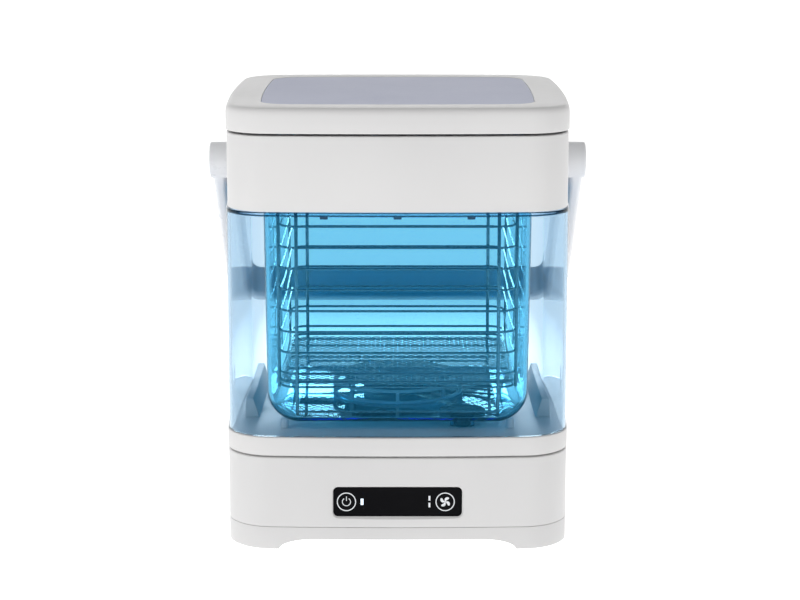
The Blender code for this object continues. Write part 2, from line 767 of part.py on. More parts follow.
def make_deck():
    """White band under the tank, with an opening for the dome, side rails and the drain's hole."""
    opening = round_plan(DOME_RADIUS + 0.0025)
    section = [
        (body, DECK_INSET + 0.0006, DECK_BOTTOM),
        (body, DECK_INSET, DECK_BOTTOM + 0.0006),
        (body, DECK_INSET, DECK_TOP - 0.0006),
        (body, DECK_INSET + 0.0006, DECK_TOP),
        (opening, 0, DECK_TOP),
        (opening, 0, PLINTH_TOP + GAP),
        (body, DECK_INSET + WALL, PLINTH_TOP + GAP),
        (body, DECK_INSET + WALL, DECK_BOTTOM),
    ]
    deck = casing("tank_deck", section, white)
    place, turn = (0, RAIL_MIDDLE, DECK_TOP - REACH / 5), (math.pi / 2, 0, 0)
    for side in (1, -1):
        points = [(side * x, y) for x, y in RAIL_SECTION][::side]
        join(deck, outline_solid(f"deck_rail_{side}", points, RAIL_LENGTH, None, station, place, turn))
    low, high = PLINTH_TOP - REACH, DECK_TOP + REACH
    cut(deck, cylinder("spout_hole", SPOUT_RADIUS + GAP, low, high, None, (DRAIN_X, DRAIN_Y)))


def make_shell():
    """Clear outer wall: it stands on the deck and necks in under the upper frame."""
    neck = FRAME_INSET + WALL + GAP
    section = [
        (body, SHELL_INSET, DECK_TOP + GAP),
        (body, SHELL_INSET, SHELL_LEDGE - 0.0006),
        (body, SHELL_INSET + 0.0006, SHELL_LEDGE),
        (body, neck, SHELL_LEDGE),
        (body, neck, NECK_TOP),
        (body, neck + WALL, NECK_TOP),
        (body, neck + WALL, SHELL_LEDGE - WALL),
        (body, SHELL_INSET + WALL, SHELL_LEDGE - WALL),
        (body, SHELL_INSET + WALL, DECK_TOP + GAP),
    ]
    casing("tank_shell", section, clear_blue)


def make_upper_frame():
    """White upper frame: side walls, and a top ledge that the bucket's flange hangs on."""
    flange = FLANGE_WIDTH + 0.0005
    ledge = FLANGE_BOTTOM - GAP
    section = [
        (body, FRAME_INSET + 0.0003, FRAME_BOTTOM),
        (body, FRAME_INSET, FRAME_BOTTOM + 0.0003),
        (body, FRAME_INSET, FRAME_TOP - 0.0008),
        (body, FRAME_INSET + 0.0008, FRAME_TOP),
        (mouth, -flange, FRAME_TOP),
        (mouth, -flange, ledge),
        (mouth, -0.0006, ledge),
        (mouth, -0.0006, ledge - WALL),
        (body, FRAME_INSET + WALL, ledge - WALL),
        (body, FRAME_INSET + WALL, FRAME_BOTTOM),
    ]
    frame = casing("upper_frame", section, white)
    outside = HALF_BODY + REACH
    for side in (-1, 1):
        name, start, end = f"pin_hole_{side}", side * (outside - 4 * WALL), side * outside
        cut(frame, along_x(name, PIN_RADIUS + GAP, start, end, None, station, PIVOT_LEVEL))


def bucket_ring(level, wall=0.0, inset_x=0.0, inset_y=0.0):
    """The bucket's outline at a height: drafted sides, a wall's inset, and the bottom's rounding."""
    draft = BUCKET_DRAFT * (FLANGE_BOTTOM - level) / (FLANGE_BOTTOM - BUCKET_BOTTOM)
    rounding = BOTTOM_CORNER_LOSS * inset_x / BOTTOM_ROUND_X
    plan = rounded_rectangle(
        BUCKET_HALF_X - draft - inset_x, BUCKET_HALF_Y - draft - inset_y, BUCKET_CORNER - rounding
    )
    return ring(plan, wall, level)


def bucket_bottom(floor, wall):
    """Rings of the rounded bottom, from the floor up: a wide sweep at the sides, a small one at the front."""
    steps = 4
    wide = BOTTOM_ROUND_X - wall
    rings = []
    for step in range(steps + 1):
        angle = math.pi / 2 * step / steps
        share = 1 - math.sin(angle)
        level = floor + wide * (1 - math.cos(angle))
        rings.append(bucket_ring(level, wall, wide * share, (BOTTOM_ROUND_Y - wall) * share))
    return rings


def make_bucket():
    """Clear inner bucket with a flange round its mouth and a drain spout through its floor."""
    outer = bucket_bottom(BUCKET_BOTTOM, 0.0)
    inner = bucket_bottom(BUCKET_BOTTOM + BUCKET_FLOOR, BUCKET_WALL)
    rings = outer + [
        ring(mouth, 0, FLANGE_BOTTOM),
        ring(mouth, -FLANGE_WIDTH, FLANGE_BOTTOM),
        ring(mouth, -FLANGE_WIDTH, FLANGE_TOP),
        ring(mouth, BUCKET_WALL, FLANGE_TOP),
    ]
    bucket = loft("bucket", rings + inner[::-1], clear_blue, station)
    place = (DRAIN_X, DRAIN_Y)
    join(bucket, cylinder("spout", SPOUT_RADIUS, SPOUT_BOTTOM, BUCKET_BOTTOM + REACH, None, place))
    low, high = SPOUT_BOTTOM - REACH, CAGE_BOTTOM + REACH
    cut(bucket, cylinder("spout_bore", SPOUT_BORE, low, high, None, place))
    low, high = DECK_TOP + GAP, BUCKET_FOOT_TOP
    for number, place in enumerate(four_corners(BUCKET_FOOT_X, BUCKET_FOOT_Y), 1):
        cylinder(f"bucket_foot_{number}", BUCKET_FOOT_RADIUS, low, high, pale_plastic, place, sides=10)


def make_drain_plug():
    """Rubber plug: a flat disc on the bucket's floor and a stem down the spout."""
    floor = CAGE_BOTTOM
    profile = [
        (0, PLUG_TOP),
        (PLUG_RADIUS - 0.0010, PLUG_TOP),
        (PLUG_RADIUS, PLUG_TOP - 0.0010),
        (PLUG_RADIUS, floor),
        (SPOUT_BORE - GAP, floor),
        (SPOUT_BORE - GAP, PLUG_STEM_TAPER),
        (SPOUT_BORE - 0.0020, PLUG_STEM_END),
        (0, PLUG_STEM_END),
    ]
    plug = turned("drain_plug", profile, rubber, steps=16)
    plug.location = (DRAIN_X, DRAIN_Y, 0)


def make_cage():
    """Ring of posts round the impeller, cut from a tube, with a spindle standing in its middle."""
    profile = [
        (CAGE_RADIUS - CAGE_WALL, CAGE_TOP),
        (CAGE_RADIUS, CAGE_TOP),
        (CAGE_RADIUS, CAGE_BOTTOM),
        (CAGE_RADIUS - CAGE_WALL, CAGE_BOTTOM),
        (CAGE_RADIUS - CAGE_WALL, CAGE_TOP),
    ]
    cage = turned("impeller_cage", profile, pale_plastic, steps=32)
    low, high = CAGE_BOTTOM + 0.0020, CAGE_TOP - 0.0025
    for number in range(4):
        turn = math.radians(22.5 + 45 * number)
        corner = (CAGE_RADIUS + REACH, CAGE_WINDOW_HALF)
        near, far = (-corner[0], -corner[1], low), (*corner, high)
        cut(cage, box(f"cage_window_{number}", near, far, None, turn=turn))
    profile = [
        (0, SPINDLE_TOP),
        (SPINDLE_RADIUS, SPINDLE_TOP),
        (SPINDLE_RADIUS, CAGE_BOTTOM + SPINDLE_FOOT_HEIGHT),
        (SPINDLE_FOOT, CAGE_BOTTOM + SPINDLE_FOOT_HEIGHT),
        (SPINDLE_FOOT, CAGE_BOTTOM),
        (0, CAGE_BOTTOM),
    ]
    turned("impeller_spindle", profile, steel, steps=12)


def make_impeller():
    """Closed impeller: magnet carrier below, blades, and a round cover disc on top."""
    bore = SPINDLE_RADIUS + GAP
    cover = IMPELLER_TOP - 0.0020
    profile = [
        (0, HUB_TOP),
        (HUB_RADIUS - 0.0020, HUB_TOP),
        (HUB_RADIUS, IMPELLER_TOP),
        (IMPELLER_RADIUS, IMPELLER_TOP),
        (IMPELLER_RADIUS, cover),
        (HUB_RADIUS, cover),
        (HUB_RADIUS, CARRIER_TOP),
        (CARRIER_RADIUS, CARRIER_TOP),
        (CARRIER_RADIUS, IMPELLER_BOTTOM),
        (bore, IMPELLER_BOTTOM),
        (bore, SPINDLE_TOP + GAP),
        (0, SPINDLE_TOP + GAP),
    ]
    impeller = turned("impeller", profile, dark_blue, drive_axis)
    for number in range(BLADES):
        turn = 2 * math.pi * number / BLADES
        low = (HUB_RADIUS - REACH, -BLADE_HALF, CARRIER_TOP - REACH)
        high = (IMPELLER_RADIUS - 0.0015, BLADE_HALF, cover + REACH)
        join(impeller, box(f"blade_{number}", low, high, None, drive_axis, turn))
    top = IMPELLER_BOTTOM + IMPELLER_MAGNET_HEIGHT
    for number in range(4):
        place = direction(math.radians(30 + 90 * number)).xy * IMPELLER_MAGNET_PLACE
        name, radius = f"impeller_pocket_{number}", IMPELLER_MAGNET_RADIUS + GAP
        cut(impeller, cylinder(name, radius, IMPELLER_BOTTOM - REACH, top + GAP, None, place, drive_axis, 8))
        name, radius = f"impeller_magnet_{number + 1}", IMPELLER_MAGNET_RADIUS
        cylinder(name, radius, IMPELLER_BOTTOM, top, steel, place, drive_axis, 8)


# ---------------------------------------------------------------- basket


def ring_path(half_x, half_y, corner, level, steps=2):
    """Points along a level rounded rectangle."""
    points = []
    for quarter, (sign_x, sign_y) in enumerate(((1, 1), (-1, 1), (-1, -1), (1, -1))):
        centre = Vector((sign_x * (half_x - corner), sign_y * (half_y - corner), level))
        for step in range(steps + 1):
            points.append(centre + direction(math.pi / 2 * (quarter + step / steps)) * corner)
    return points


def side_path(side, level, joint, steps=2):
    """One side of a ring with its two corner bends, which stop `joint` short of the front and back rods."""
    start = math.asin(joint / BASKET_CORNER)
    points = []
    for end in (1, -1):
        for step in range(steps + 1):
            angle = start + (math.pi / 2 - start) * (step if end > 0 else steps - step) / steps
            x = BASKET_HALF_X - BASKET_CORNER + BASKET_CORNER * math.sin(angle)
            y = BASKET_HALF_Y - BASKET_CORNER + BASKET_CORNER * math.cos(angle)
            points.append((side * x, end * y, level))
    return points


def wall_wires(end):
    """Wires of the front (end -1) or back (end 1) wall: level wires, two rods that end as legs, a foot wire."""
    x, y = BASKET_HALF_X - BASKET_CORNER, end * BASKET_HALF_Y
    rod_y = end * (BASKET_HALF_Y + ROD_OUT)
    wires = [([(-x, y, level), (x, y, level)], radius) for level, radius in RING_LEVELS]
    wires += [([(side * x, rod_y, LEG_END), (side * x, rod_y, TOP_RING)], ROD_RADIUS) for side in (-1, 1)]
    wires.append(([(-x, rod_y, FOOT_WIRE), (x, rod_y, FOOT_WIRE)], RING_RADIUS))
    return wires


def side_wires(side):
    """Wires of the left (side -1) or right (side 1) wall: bent level wires and two rods."""
    wires = []
    for level, radius in RING_LEVELS:
        joint = RING_JOINT if radius == RING_RADIUS else RIM_JOINT
        wires.append((side_path(side, level, joint), radius))
    rod_x, y = side * (BASKET_HALF_X + ROD_OUT), BASKET_HALF_Y - BASKET_CORNER
    rod_bottom = RAIL_LOW - 0.0020
    wires += [([(rod_x, end * y, rod_bottom), (rod_x, end * y, TOP_RING)], ROD_RADIUS) for end in (-1, 1)]
    return wires


def weld_wires(name, wires, extra=()):
    """One solid from its wires: the first is the object, and the others are united with it."""
    welded = bpy.data.collections.new(name + "_welds")
    cutters.children.link(welded)
    points, radius = wires[0]
    frame = wire(name, points, radius, stainless, station, cyclic=len(points) > 8)
    pieces = [wire(f"{name}_{number}", *each, None, station) for number, each in enumerate(wires[1:], 1)]
    for piece in pieces + list(extra):
        cutters.objects.unlink(piece)
        welded.objects.link(piece)
    weld = frame.modifiers.new("weld", "BOOLEAN")
    weld.operation = "UNION"
    weld.solver = "EXACT"
    weld.operand_type = "COLLECTION"
    weld.collection = welded
    return frame


def bail_eye(side):
    """Ring on the top wire of a side wall, in which the bail's pin turns."""
    outer = along_x(
        f"bail_eye_{side}", EYE_RADIUS, side * EYE_INNER, side * EYE_OUTER, None, station, BAIL_LEVEL
    )
    start, end = side * (EYE_INNER - REACH), side * (EYE_OUTER + REACH)
    bore = along_x(f"bail_eye_bore_{side}", EYE_BORE, start, end, None, station, BAIL_LEVEL, 12)
    return cut(outer, bore)


def make_basket():
    """Welded wire basket in five pieces, its mesh floor plate, and the small bail that lifts it."""
    weld_wires("basket_front", wall_wires(-1))
    weld_wires("basket_back", wall_wires(1))
    weld_wires("basket_left", side_wires(-1), [bail_eye(-1)])
    weld_wires("basket_right", side_wires(1), [bail_eye(1)])
    outline = (BASKET_HALF_X - FLOOR_INSET, BASKET_HALF_Y - FLOOR_INSET, BASKET_CORNER - FLOOR_INSET)
    bars = [(ring_path(*outline, RAIL_LOW), RING_RADIUS)]
    for number in range(4):
        y = CROSS_BAR_PITCH * (number - 1.5)
        bars.append(([(-outline[0], y, RAIL_LOW), (outline[0], y, RAIL_LOW)], RING_RADIUS))
    weld_wires("basket_floor", bars)
    margin = 0.0008
    plan = rounded_rectangle(BASKET_HALF_X - margin, BASKET_HALF_Y - margin, BASKET_CORNER - margin)
    half = MESH_THICKNESS / 2
    rings = [ring(plan, 0, MESH_LEVEL - half), ring(plan, 0, MESH_LEVEL + half)]
    loft("basket_mesh", rings, stainless, station)
    wire("basket_bail", bail_path(), ROD_RADIUS, stainless, bail_axis)


def bail_path():
    """The bail lies forward of its pivot: a pin through each eye, an arm, and the bar that joins the arms."""
    bend = BAIL_BEND
    half = [(EYE_INNER - 0.0017, 0, 0)]
    for centre, start in (((BAIL_X - bend, -bend), 90), ((BAIL_X - bend, bend - BAIL_ARM), 0)):
        for step in range(4):
            angle = math.radians(start - 30 * step)
            half.append((centre[0] + bend * math.cos(angle), centre[1] + bend * math.sin(angle), 0))
    return half + [(-x, y, z) for x, y, z in reversed(half)]


# ---------------------------------------------------------------- lid


def make_lid():
    """Lid with a window, an inner collar that enters the bucket, and a gasket on the bucket's flange."""
    window = bowed_square(WINDOW_HALF, WINDOW_CORNER, WINDOW_BOW)
    seat = WINDOW_TOP - WINDOW_THICKNESS - GAP
    section = [ring(body, LID_INSET + 0.0005, LID_BOTTOM), ring(body, LID_INSET, LID_BOTTOM + 0.0005)]
    section += rounded_edge(body, LID_INSET, LID_TOP, LID_ROUND)
    section += [
        ring(window, -GAP - 0.0004, LID_TOP),
        ring(window, -GAP, LID_TOP - 0.0004),
        ring(window, -GAP, seat),
        ring(window, WINDOW_LEDGE, seat),
        ring(window, WINDOW_LEDGE, LID_UNDERSIDE),
        ring(mouth, COLLAR_INNER, LID_UNDERSIDE),
        ring(mouth, COLLAR_INNER, COLLAR_BOTTOM),
        ring(mouth, COLLAR_OUTER, COLLAR_BOTTOM),
        ring(mouth, COLLAR_OUTER, GASKET_TOP + GAP),
        ring(mouth, -GASKET_REACH, GASKET_TOP + GAP),
        ring(mouth, -GASKET_REACH, LID_UNDERSIDE),
        ring(body, LID_INSET + WALL, LID_UNDERSIDE),
        ring(body, LID_INSET + WALL, LID_BOTTOM),
    ]
    loft("lid_frame", section, white, station, closed=True)
    bottom = WINDOW_TOP - WINDOW_THICKNESS
    rings = [ring(window, 0, bottom), ring(window, 0, WINDOW_TOP - 0.0004), ring(window, 0.0004, WINDOW_TOP)]
    loft("lid_window", rings, frosted, station)
    inner = COLLAR_OUTER - GAP
    section = [
        (mouth, inner, FLANGE_TOP + GAP),
        (mouth, -GASKET_REACH, FLANGE_TOP + GAP),
        (mouth, -GASKET_REACH, GASKET_TOP),
        (mouth, inner, GASKET_TOP),
    ]
    casing("lid_gasket", section, silicone)


# ---------------------------------------------------------------- handle


def strap_path():
    """The U of the handle in its own plane: up one arm, round two bends, down the other arm."""
    steps = 6
    right = [(ARM_X, 0.0, 0.0)]
    for step in range(steps + 1):
        heading = direction(math.pi / 2 * step / steps) * BEND_RADIUS
        right.append((ARM_X - BEND_RADIUS + heading.x, HANDLE_REACH - BEND_RADIUS + heading.y, 0.0))
    return right + [(-x, y, z) for x, y, z in reversed(right)]


def strap_profile():
    """Rounded-rectangle section of the strap, as a closed flat curve."""
    profile = bpy.data.curves.new("strap_profile", "CURVE")
    profile.dimensions = "2D"
    points = ring_path(STRAP_THICKNESS / 2, STRAP_WIDTH / 2, STRAP_ROUND, 0.0)
    spline = profile.splines.new("POLY")
    spline.points.add(len(points) - 1)
    for target, point in zip(spline.points, points):
        target.co = (*point, 1)
    spline.use_cyclic_u = True
    holder = bpy.data.objects.new("strap_profile", profile)
    holder.hide_render = True
    cutters.objects.link(holder)
    return holder


def make_handle():
    """Bail handle: a bent strap with round bosses, and the pins and bushings that it turns on."""
    curve = bpy.data.curves.new("strap", "CURVE")
    curve.dimensions = "2D"
    curve.fill_mode = "NONE"
    curve.bevel_mode = "OBJECT"
    curve.bevel_object = strap_profile()
    curve.use_fill_caps = True
    points = strap_path()
    spline = curve.splines.new("POLY")
    spline.points.add(len(points) - 1)
    for target, point in zip(spline.points, points):
        target.co = (*point, 1)
    handle = curve_to_mesh("handle_bail", curve, white, handle_axis)
    for side, word in ((-1, "left"), (1, "right")):
        boss = along_x(
            f"handle_boss_{word}",
            HANDLE_BOSS_RADIUS,
            side * HANDLE_BOSS_INNER,
            side * HANDLE_BOSS_OUTER,
            None,
            handle_axis,
            sides=20,
        )
        bore = along_x(
            f"handle_bore_{word}",
            PIN_RADIUS + GAP,
            side * (HANDLE_BOSS_INNER - REACH),
            side * (PIN_END + 2 * GAP),
            None,
            handle_axis,
        )
        join(handle, boss)
        cut(handle, bore)
        profile = [
            (0, PIN_END),
            (PIN_RADIUS - 0.0008, PIN_END),
            (PIN_RADIUS, PIN_END - 0.0008),
            (PIN_RADIUS, PIN_START + PIN_HEAD_THICKNESS),
            (PIN_HEAD, PIN_START + PIN_HEAD_THICKNESS),
            (PIN_HEAD, PIN_START),
            (0, PIN_START),
        ]
        pin = turned(f"pivot_pin_{word}", profile, steel, steps=12)
        half_body = HALF_BODY - FRAME_INSET
        profile = [
            (PIN_RADIUS + GAP, HANDLE_BOSS_INNER - GAP),
            (BUSHING_RADIUS, HANDLE_BOSS_INNER - GAP),
            (BUSHING_RADIUS, half_body + GAP),
            (PIN_RADIUS + GAP, half_body + GAP),
            (PIN_RADIUS + GAP, HANDLE_BOSS_INNER - GAP),
        ]
        bushing = turned(f"pivot_bushing_{word}", profile, pale_plastic, steps=16)
        for obj in (pin, bushing):
            obj.location = (0, 0, PIVOT_LEVEL)
            obj.rotation_euler = (0, side * math.pi / 2, 0)


# ---------------------------------------------------------------- the object

clear_scene()
parts = new_collection("resin_wash_station")
cutters = new_collection("cutters")

white = principled("white_plastic", (0.80, 0.80, 0.79), 0.38)
pale_plastic = principled("pale_plastic", (0.72, 0.74, 0.76), 0.45)
clear_blue = principled("clear_blue_plastic", (0.20, 0.62, 0.86), 0.05, alpha=0.35, transmission=0.8)
dark_blue = principled("impeller_plastic", (0.03, 0.06, 0.10), 0.35)
frosted = principled("frosted_window", (0.48, 0.50, 0.60), 0.45)
black_glass = principled("black_glass", (0.004, 0.004, 0.005), 0.08)
black_plastic = principled("black_plastic", (0.02, 0.02, 0.02), 0.45)
board_green = principled("circuit_board", (0.02, 0.15, 0.07), 0.5)
steel = principled("steel", (0.55, 0.55, 0.56), 0.3, metallic=1.0)
stainless = principled("stainless_wire", (0.60, 0.61, 0.62), 0.2, metallic=1.0)
rubber = principled("black_rubber", (0.03, 0.03, 0.035), 0.8)
silicone = principled("silicone", (0.60, 0.62, 0.64), 0.6)

station = axis_empty("station", (0, STATION_Y, 0))
handle_axis = axis_empty("handle_axis", (0, 0, PIVOT_LEVEL), station, tilt=-HANG_ANGLE)
drive_axis = axis_empty("drive_axis", (0, 0, 0), station)
bail_axis = axis_empty("bail_axis", (0, 0, BAIL_LEVEL), station)

body = bowed_square(HALF_BODY, CORNER, BOW)
mouth = rounded_rectangle(BUCKET_HALF_X, BUCKET_HALF_Y, BUCKET_CORNER)

make_chassis()
make_housing()
make_panel()
make_feet_and_case_screws()
make_electrics()
make_drive()
make_deck()
make_shell()
make_upper_frame()
make_bucket()
make_drain_plug()
make_cage()
make_impeller()
make_basket()
make_lid()
make_handle()
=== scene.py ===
# %% [markdown]
# # Resin wash station
#
# A wash station rinses fresh resin prints. Prints lie in a wire basket inside a clear blue tank, and a
# magnet in the white base turns an impeller under the basket. This lesson builds the finish of each piece
# round a fixed model of its solids: smooth casings, clear plastic, bent wire, woven mesh and lit icons.
#
# Their sizes and places are read from them, so a piece made here fits.

import json
import math

import bpy
import mathutils
import numpy as np
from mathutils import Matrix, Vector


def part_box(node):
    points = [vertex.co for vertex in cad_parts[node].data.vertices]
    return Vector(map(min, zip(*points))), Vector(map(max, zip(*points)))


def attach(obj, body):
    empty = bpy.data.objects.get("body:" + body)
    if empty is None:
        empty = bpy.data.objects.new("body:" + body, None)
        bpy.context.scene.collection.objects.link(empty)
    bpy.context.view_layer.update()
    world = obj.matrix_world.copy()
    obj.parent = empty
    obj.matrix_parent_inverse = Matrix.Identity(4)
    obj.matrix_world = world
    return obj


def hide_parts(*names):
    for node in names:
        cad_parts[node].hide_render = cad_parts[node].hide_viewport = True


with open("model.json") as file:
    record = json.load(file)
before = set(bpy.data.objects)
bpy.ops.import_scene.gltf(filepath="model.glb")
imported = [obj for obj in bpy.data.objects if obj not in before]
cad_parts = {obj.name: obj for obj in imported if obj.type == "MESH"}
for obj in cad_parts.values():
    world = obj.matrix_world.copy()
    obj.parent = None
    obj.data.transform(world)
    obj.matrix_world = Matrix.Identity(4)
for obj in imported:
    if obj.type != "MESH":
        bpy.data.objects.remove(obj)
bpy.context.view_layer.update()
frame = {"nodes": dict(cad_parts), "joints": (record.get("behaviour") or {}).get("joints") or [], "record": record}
joints = {joint["name"]: joint for joint in frame["joints"]}
AXIS_Y = joints["handle_swing"]["pos_m"][1]
PIVOT_LEVEL = joints["handle_swing"]["pos_m"][2]

# %% [markdown]
# ## Surfaces from arrays
#
# Every new shape is a grid: rings of points, one after another, that faces join up. A casing, a turned
# knob and a bent wire differ only in how their rings are placed. A modelling tool would need many clicks
# for each of them, while a few array lines keep the sizes in one place and can be read again later.
#
# A patch is a pair of arrays, points and four-sided faces, and a list of many-sided caps.


# %% Grids and patches
def grid_patch(rings, closed=False, caps=True):
    """Faces between neighbouring rings: point (i, j) joins (i, j+1), (i+1, j+1) and (i+1, j).

    `rings` is an array of ring, point, coordinate. A closed patch also joins its last ring to its first.
    The enclosed volume is the sum of each face's corner product; if it is negative, all faces turn over.
    """
    count, size = rings.shape[:2]
    index = np.arange(count * size).reshape(count, size)
    near = index if closed else index[:-1]
    far = np.roll(index, -1, axis=0) if closed else index[1:]
    faces = np.stack([near, np.roll(near, -1, 1), np.roll(far, -1, 1), far], axis=-1).reshape(-1, 4)
    ends = [] if closed or not caps else [index[0][::-1].tolist(), index[-1].tolist()]
    points = rings.reshape(-1, 3)
    middle = points.mean(axis=0)
    a, b, c, d = (points[faces[:, corner]] - middle for corner in range(4))
    volume = (np.cross(a, b) * c).sum() + (np.cross(a, c) * d).sum()
    if volume < 0:
        faces = faces[:, ::-1]
        ends = [end[::-1] for end in ends]
    return points, faces, ends


def together(patches):
    """Several patches as one: each patch's face numbers move up by the points before it."""
    points, faces, ends, start = [], [], [], 0
    for patch_points, patch_faces, patch_ends in patches:
        points.append(patch_points)
        faces.append(patch_faces + start)
        ends += [(np.array(end) + start).tolist() for end in patch_ends]
        start += len(patch_points)
    return np.concatenate(points), np.concatenate(faces), ends


def make_piece(name, patch, material, body, stands_for=(), sharp=40, flat=False):
    """An object from a patch: smooth shading up to `sharp` degrees, a finish, and the body it rides."""
    points, faces, ends = patch
    mesh = bpy.data.meshes.new(name)
    mesh.from_pydata(points.tolist(), [], faces.tolist() + ends)
    mesh.update()
    if not flat:
        mesh.shade_smooth()
        mesh.set_sharp_from_angle(angle=math.radians(sharp))
    mesh.materials.append(material)
    piece = bpy.data.objects.new(name, mesh)
    bpy.context.scene.collection.objects.link(piece)
    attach(piece, body)
    if stands_for:
        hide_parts(*stands_for)
    made.append((name, len(mesh.vertices)))
    return piece


made = []

# %% [markdown]
# ## Plans of the casings
#
# Seen from above the body is a square with round corners, and its sides bow out by a few millimetres, as
# moulded casings do so that they don't look hollow. Each plan point is an anchor, a heading and a reach.
# Moving the outline in by some inset only shortens the reach, so walls keep an even thickness.


# %% Plan outlines
CORNER_STEPS = 14
SIDE_STEPS = 10


def unit(angle):
    return np.stack([np.cos(angle), np.sin(angle)], axis=-1)


def bowed_plan(half, corner, bow):
    """Side arcs rise `bow` over a chord that is half less corner long, and corner arcs touch them.

    The corner arc's centre lies on the diagonal, at the place where its distance to the side arc's centre
    is the difference of their radii.
    """
    side = ((half - corner) ** 2 + bow**2) / (2 * bow)
    back = side - half
    centre = (math.sqrt(2 * (side - corner) ** 2 - back**2) - back) / 2
    join = math.atan2(centre, centre + back)
    corner_angles = join + (math.pi / 2 - 2 * join) * np.linspace(0, 1, CORNER_STEPS + 1)
    side_angles = math.pi / 2 - join + 2 * join * np.arange(1, SIDE_STEPS) / SIDE_STEPS
    angles = np.concatenate([corner_angles, side_angles])
    anchors = np.concatenate(
        [np.tile([centre, centre], (len(corner_angles), 1)), np.tile([0.0, -back], (len(side_angles), 1))]
    )
    reach = np.concatenate([np.full(len(corner_angles), corner), np.full(len(side_angles), side)])
    quarters = [(anchors @ quarter_turn(k).T, unit(angles + k * math.pi / 2), reach) for k in range(4)]
    return tuple(np.concatenate(column) for column in zip(*quarters))


def quarter_turn(k):
    c, s = round(math.cos(k * math.pi / 2)), round(math.sin(k * math.pi / 2))
    return np.array([[c, -s], [s, c]], float)


def straight_plan(half_x, half_y, corner):
    """Quarter circles at the corners, with the same number of points as a bowed plan along each side."""
    parts = []
    for k, (sign_x, sign_y) in enumerate(((1, 1), (-1, 1), (-1, -1), (1, -1))):
        across, run = (half_y, half_x) if k % 2 == 0 else (half_x, half_y)
        angles = k * math.pi / 2 + math.pi / 2 * np.linspace(0, 1, CORNER_STEPS + 1)
        anchor = np.array([sign_x * (half_x - corner), sign_y * (half_y - corner)])
        outward = unit(np.array((k + 1) * math.pi / 2))
        along = unit(np.array((k + 2) * math.pi / 2))
        shift = (run - corner) * (2 * np.arange(1, SIDE_STEPS) / SIDE_STEPS - 1)
        side = outward * (across - corner) + shift[:, None] * along
        anchors = np.concatenate([np.tile(anchor, (len(angles), 1)), side])
        headings = np.concatenate([unit(angles), np.tile(outward, (len(shift), 1))])
        parts.append((anchors, headings, np.full(len(anchors), corner)))
    return tuple(np.concatenate(column) for column in zip(*parts))


def circle_plan(radius):
    """A circle with one point for each point of the other plans, and one on each diagonal."""
    count = 4 * (CORNER_STEPS + SIDE_STEPS)
    angles = math.pi / 4 - math.pi * CORNER_STEPS / count + 2 * math.pi * np.arange(count) / count
    return np.zeros((count, 2)), unit(angles), np.full(count, radius)


def ring(plan, inset, level):
    """The plan's outline moved in by an inset, at a height, round the body's own axis."""
    anchors, headings, reach = plan
    flat = anchors + headings * (reach - inset)[:, None] + [0.0, AXIS_Y]
    return np.column_stack([flat, np.full(len(flat), level)])


def rounded_rings(stops, closed, steps=5):
    """Rings through stops of (plan, inset, level, radius), with every radius made a smooth bend.

    A bend starts `radius` before its corner and ends `radius` after it. Between them it is the curve whose
    pull towards the corner is 2t(1-t), so it leaves one wall and joins the next in their own directions.
    """
    corners = [ring(plan, inset, level) for plan, inset, level, radius in stops]
    rings = []
    for place, (corner, stop) in enumerate(zip(corners, stops)):
        radius = stop[3]
        at_end = not closed and place in (0, len(corners) - 1)
        if radius == 0 or at_end:
            rings.append(corner)
            continue
        before = corners[place - 1] - corner
        after = corners[(place + 1) % len(corners)] - corner
        start = before / np.linalg.norm(before, axis=1, keepdims=True) * radius
        finish = after / np.linalg.norm(after, axis=1, keepdims=True) * radius
        for t in np.linspace(0, 1, steps + 1):
            rings.append(corner + start * (1 - t) ** 2 + finish * t**2)
    return np.array(rings)


def casing(stops, closed=True):
    return grid_patch(rounded_rings(stops, closed), closed)


def half_of(node):
    low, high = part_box(node)
    return (high.x - low.x) / 2


BODY_HALF = half_of("tank_deck")
CORNER = 0.040
BOW = 0.003
WALL = 0.003
GAP = 0.0003
body_plan = bowed_plan(BODY_HALF, CORNER, BOW)
inset_nodes = ("base_housing", "tank_shell", "upper_frame", "lid_frame")
insets = {node: BODY_HALF - half_of(node) for node in inset_nodes}
print("half of the body", round(BODY_HALF, 4), "and insets", {k: round(v, 5) for k, v in insets.items()})

# %% [markdown]
# ## Turned pieces, rods and wires
#
# Feet, plugs and discs are turned: a profile of radius and height goes once round an axis. A wire is a
# circle carried along a path, and it stays round because the circle is always square to the path.


# %% Turned surfaces and tubes
def smooth_profile(profile, radius, steps=4):
    """Rounds the inner points of a profile as rounded_rings does, with bends shorter than half a side."""
    points = np.array(profile, float)
    rows = [points[:1]]
    for before, corner, after in zip(points[:-2], points[1:-1], points[2:]):
        start, finish = (
            side / np.linalg.norm(side) * min(0.999 * radius, 0.49 * np.linalg.norm(side))
            for side in (before - corner, after - corner)
        )
        t = np.linspace(0, 1, steps + 1)[:, None]
        rows.append(corner + start * (1 - t) ** 2 + finish * t**2)
    rows.append(points[-1:])
    return np.concatenate(rows)


def turned(profile, centre, sides=64, axis="z", edge=0.0005):
    """Each profile point (radius, height) becomes a circle of that radius at that height on the axis."""
    points = smooth_profile(profile, edge) if edge else np.array(profile, float)
    around = np.linspace(0, 2 * math.pi, sides, endpoint=False)
    radius = np.maximum(points[:, 0], 1e-5)[:, None]
    across, up = radius * np.cos(around), radius * np.sin(around)
    height = np.repeat(points[:, 1:], sides, axis=1)
    order = {"z": (across, up, height), "x": (height, across, up), "y": (across, -height, up)}[axis]
    return grid_patch(np.stack(order, axis=-1) + np.array(centre, float))


def peg(radius, low, high, centre, sides=48, axis="z"):
    """A plain round solid: a square-edged profile of one radius, turned between two places on its axis."""
    return turned([(0, low), (radius, low), (radius, high), (0, high)], centre, sides, axis, edge=0)


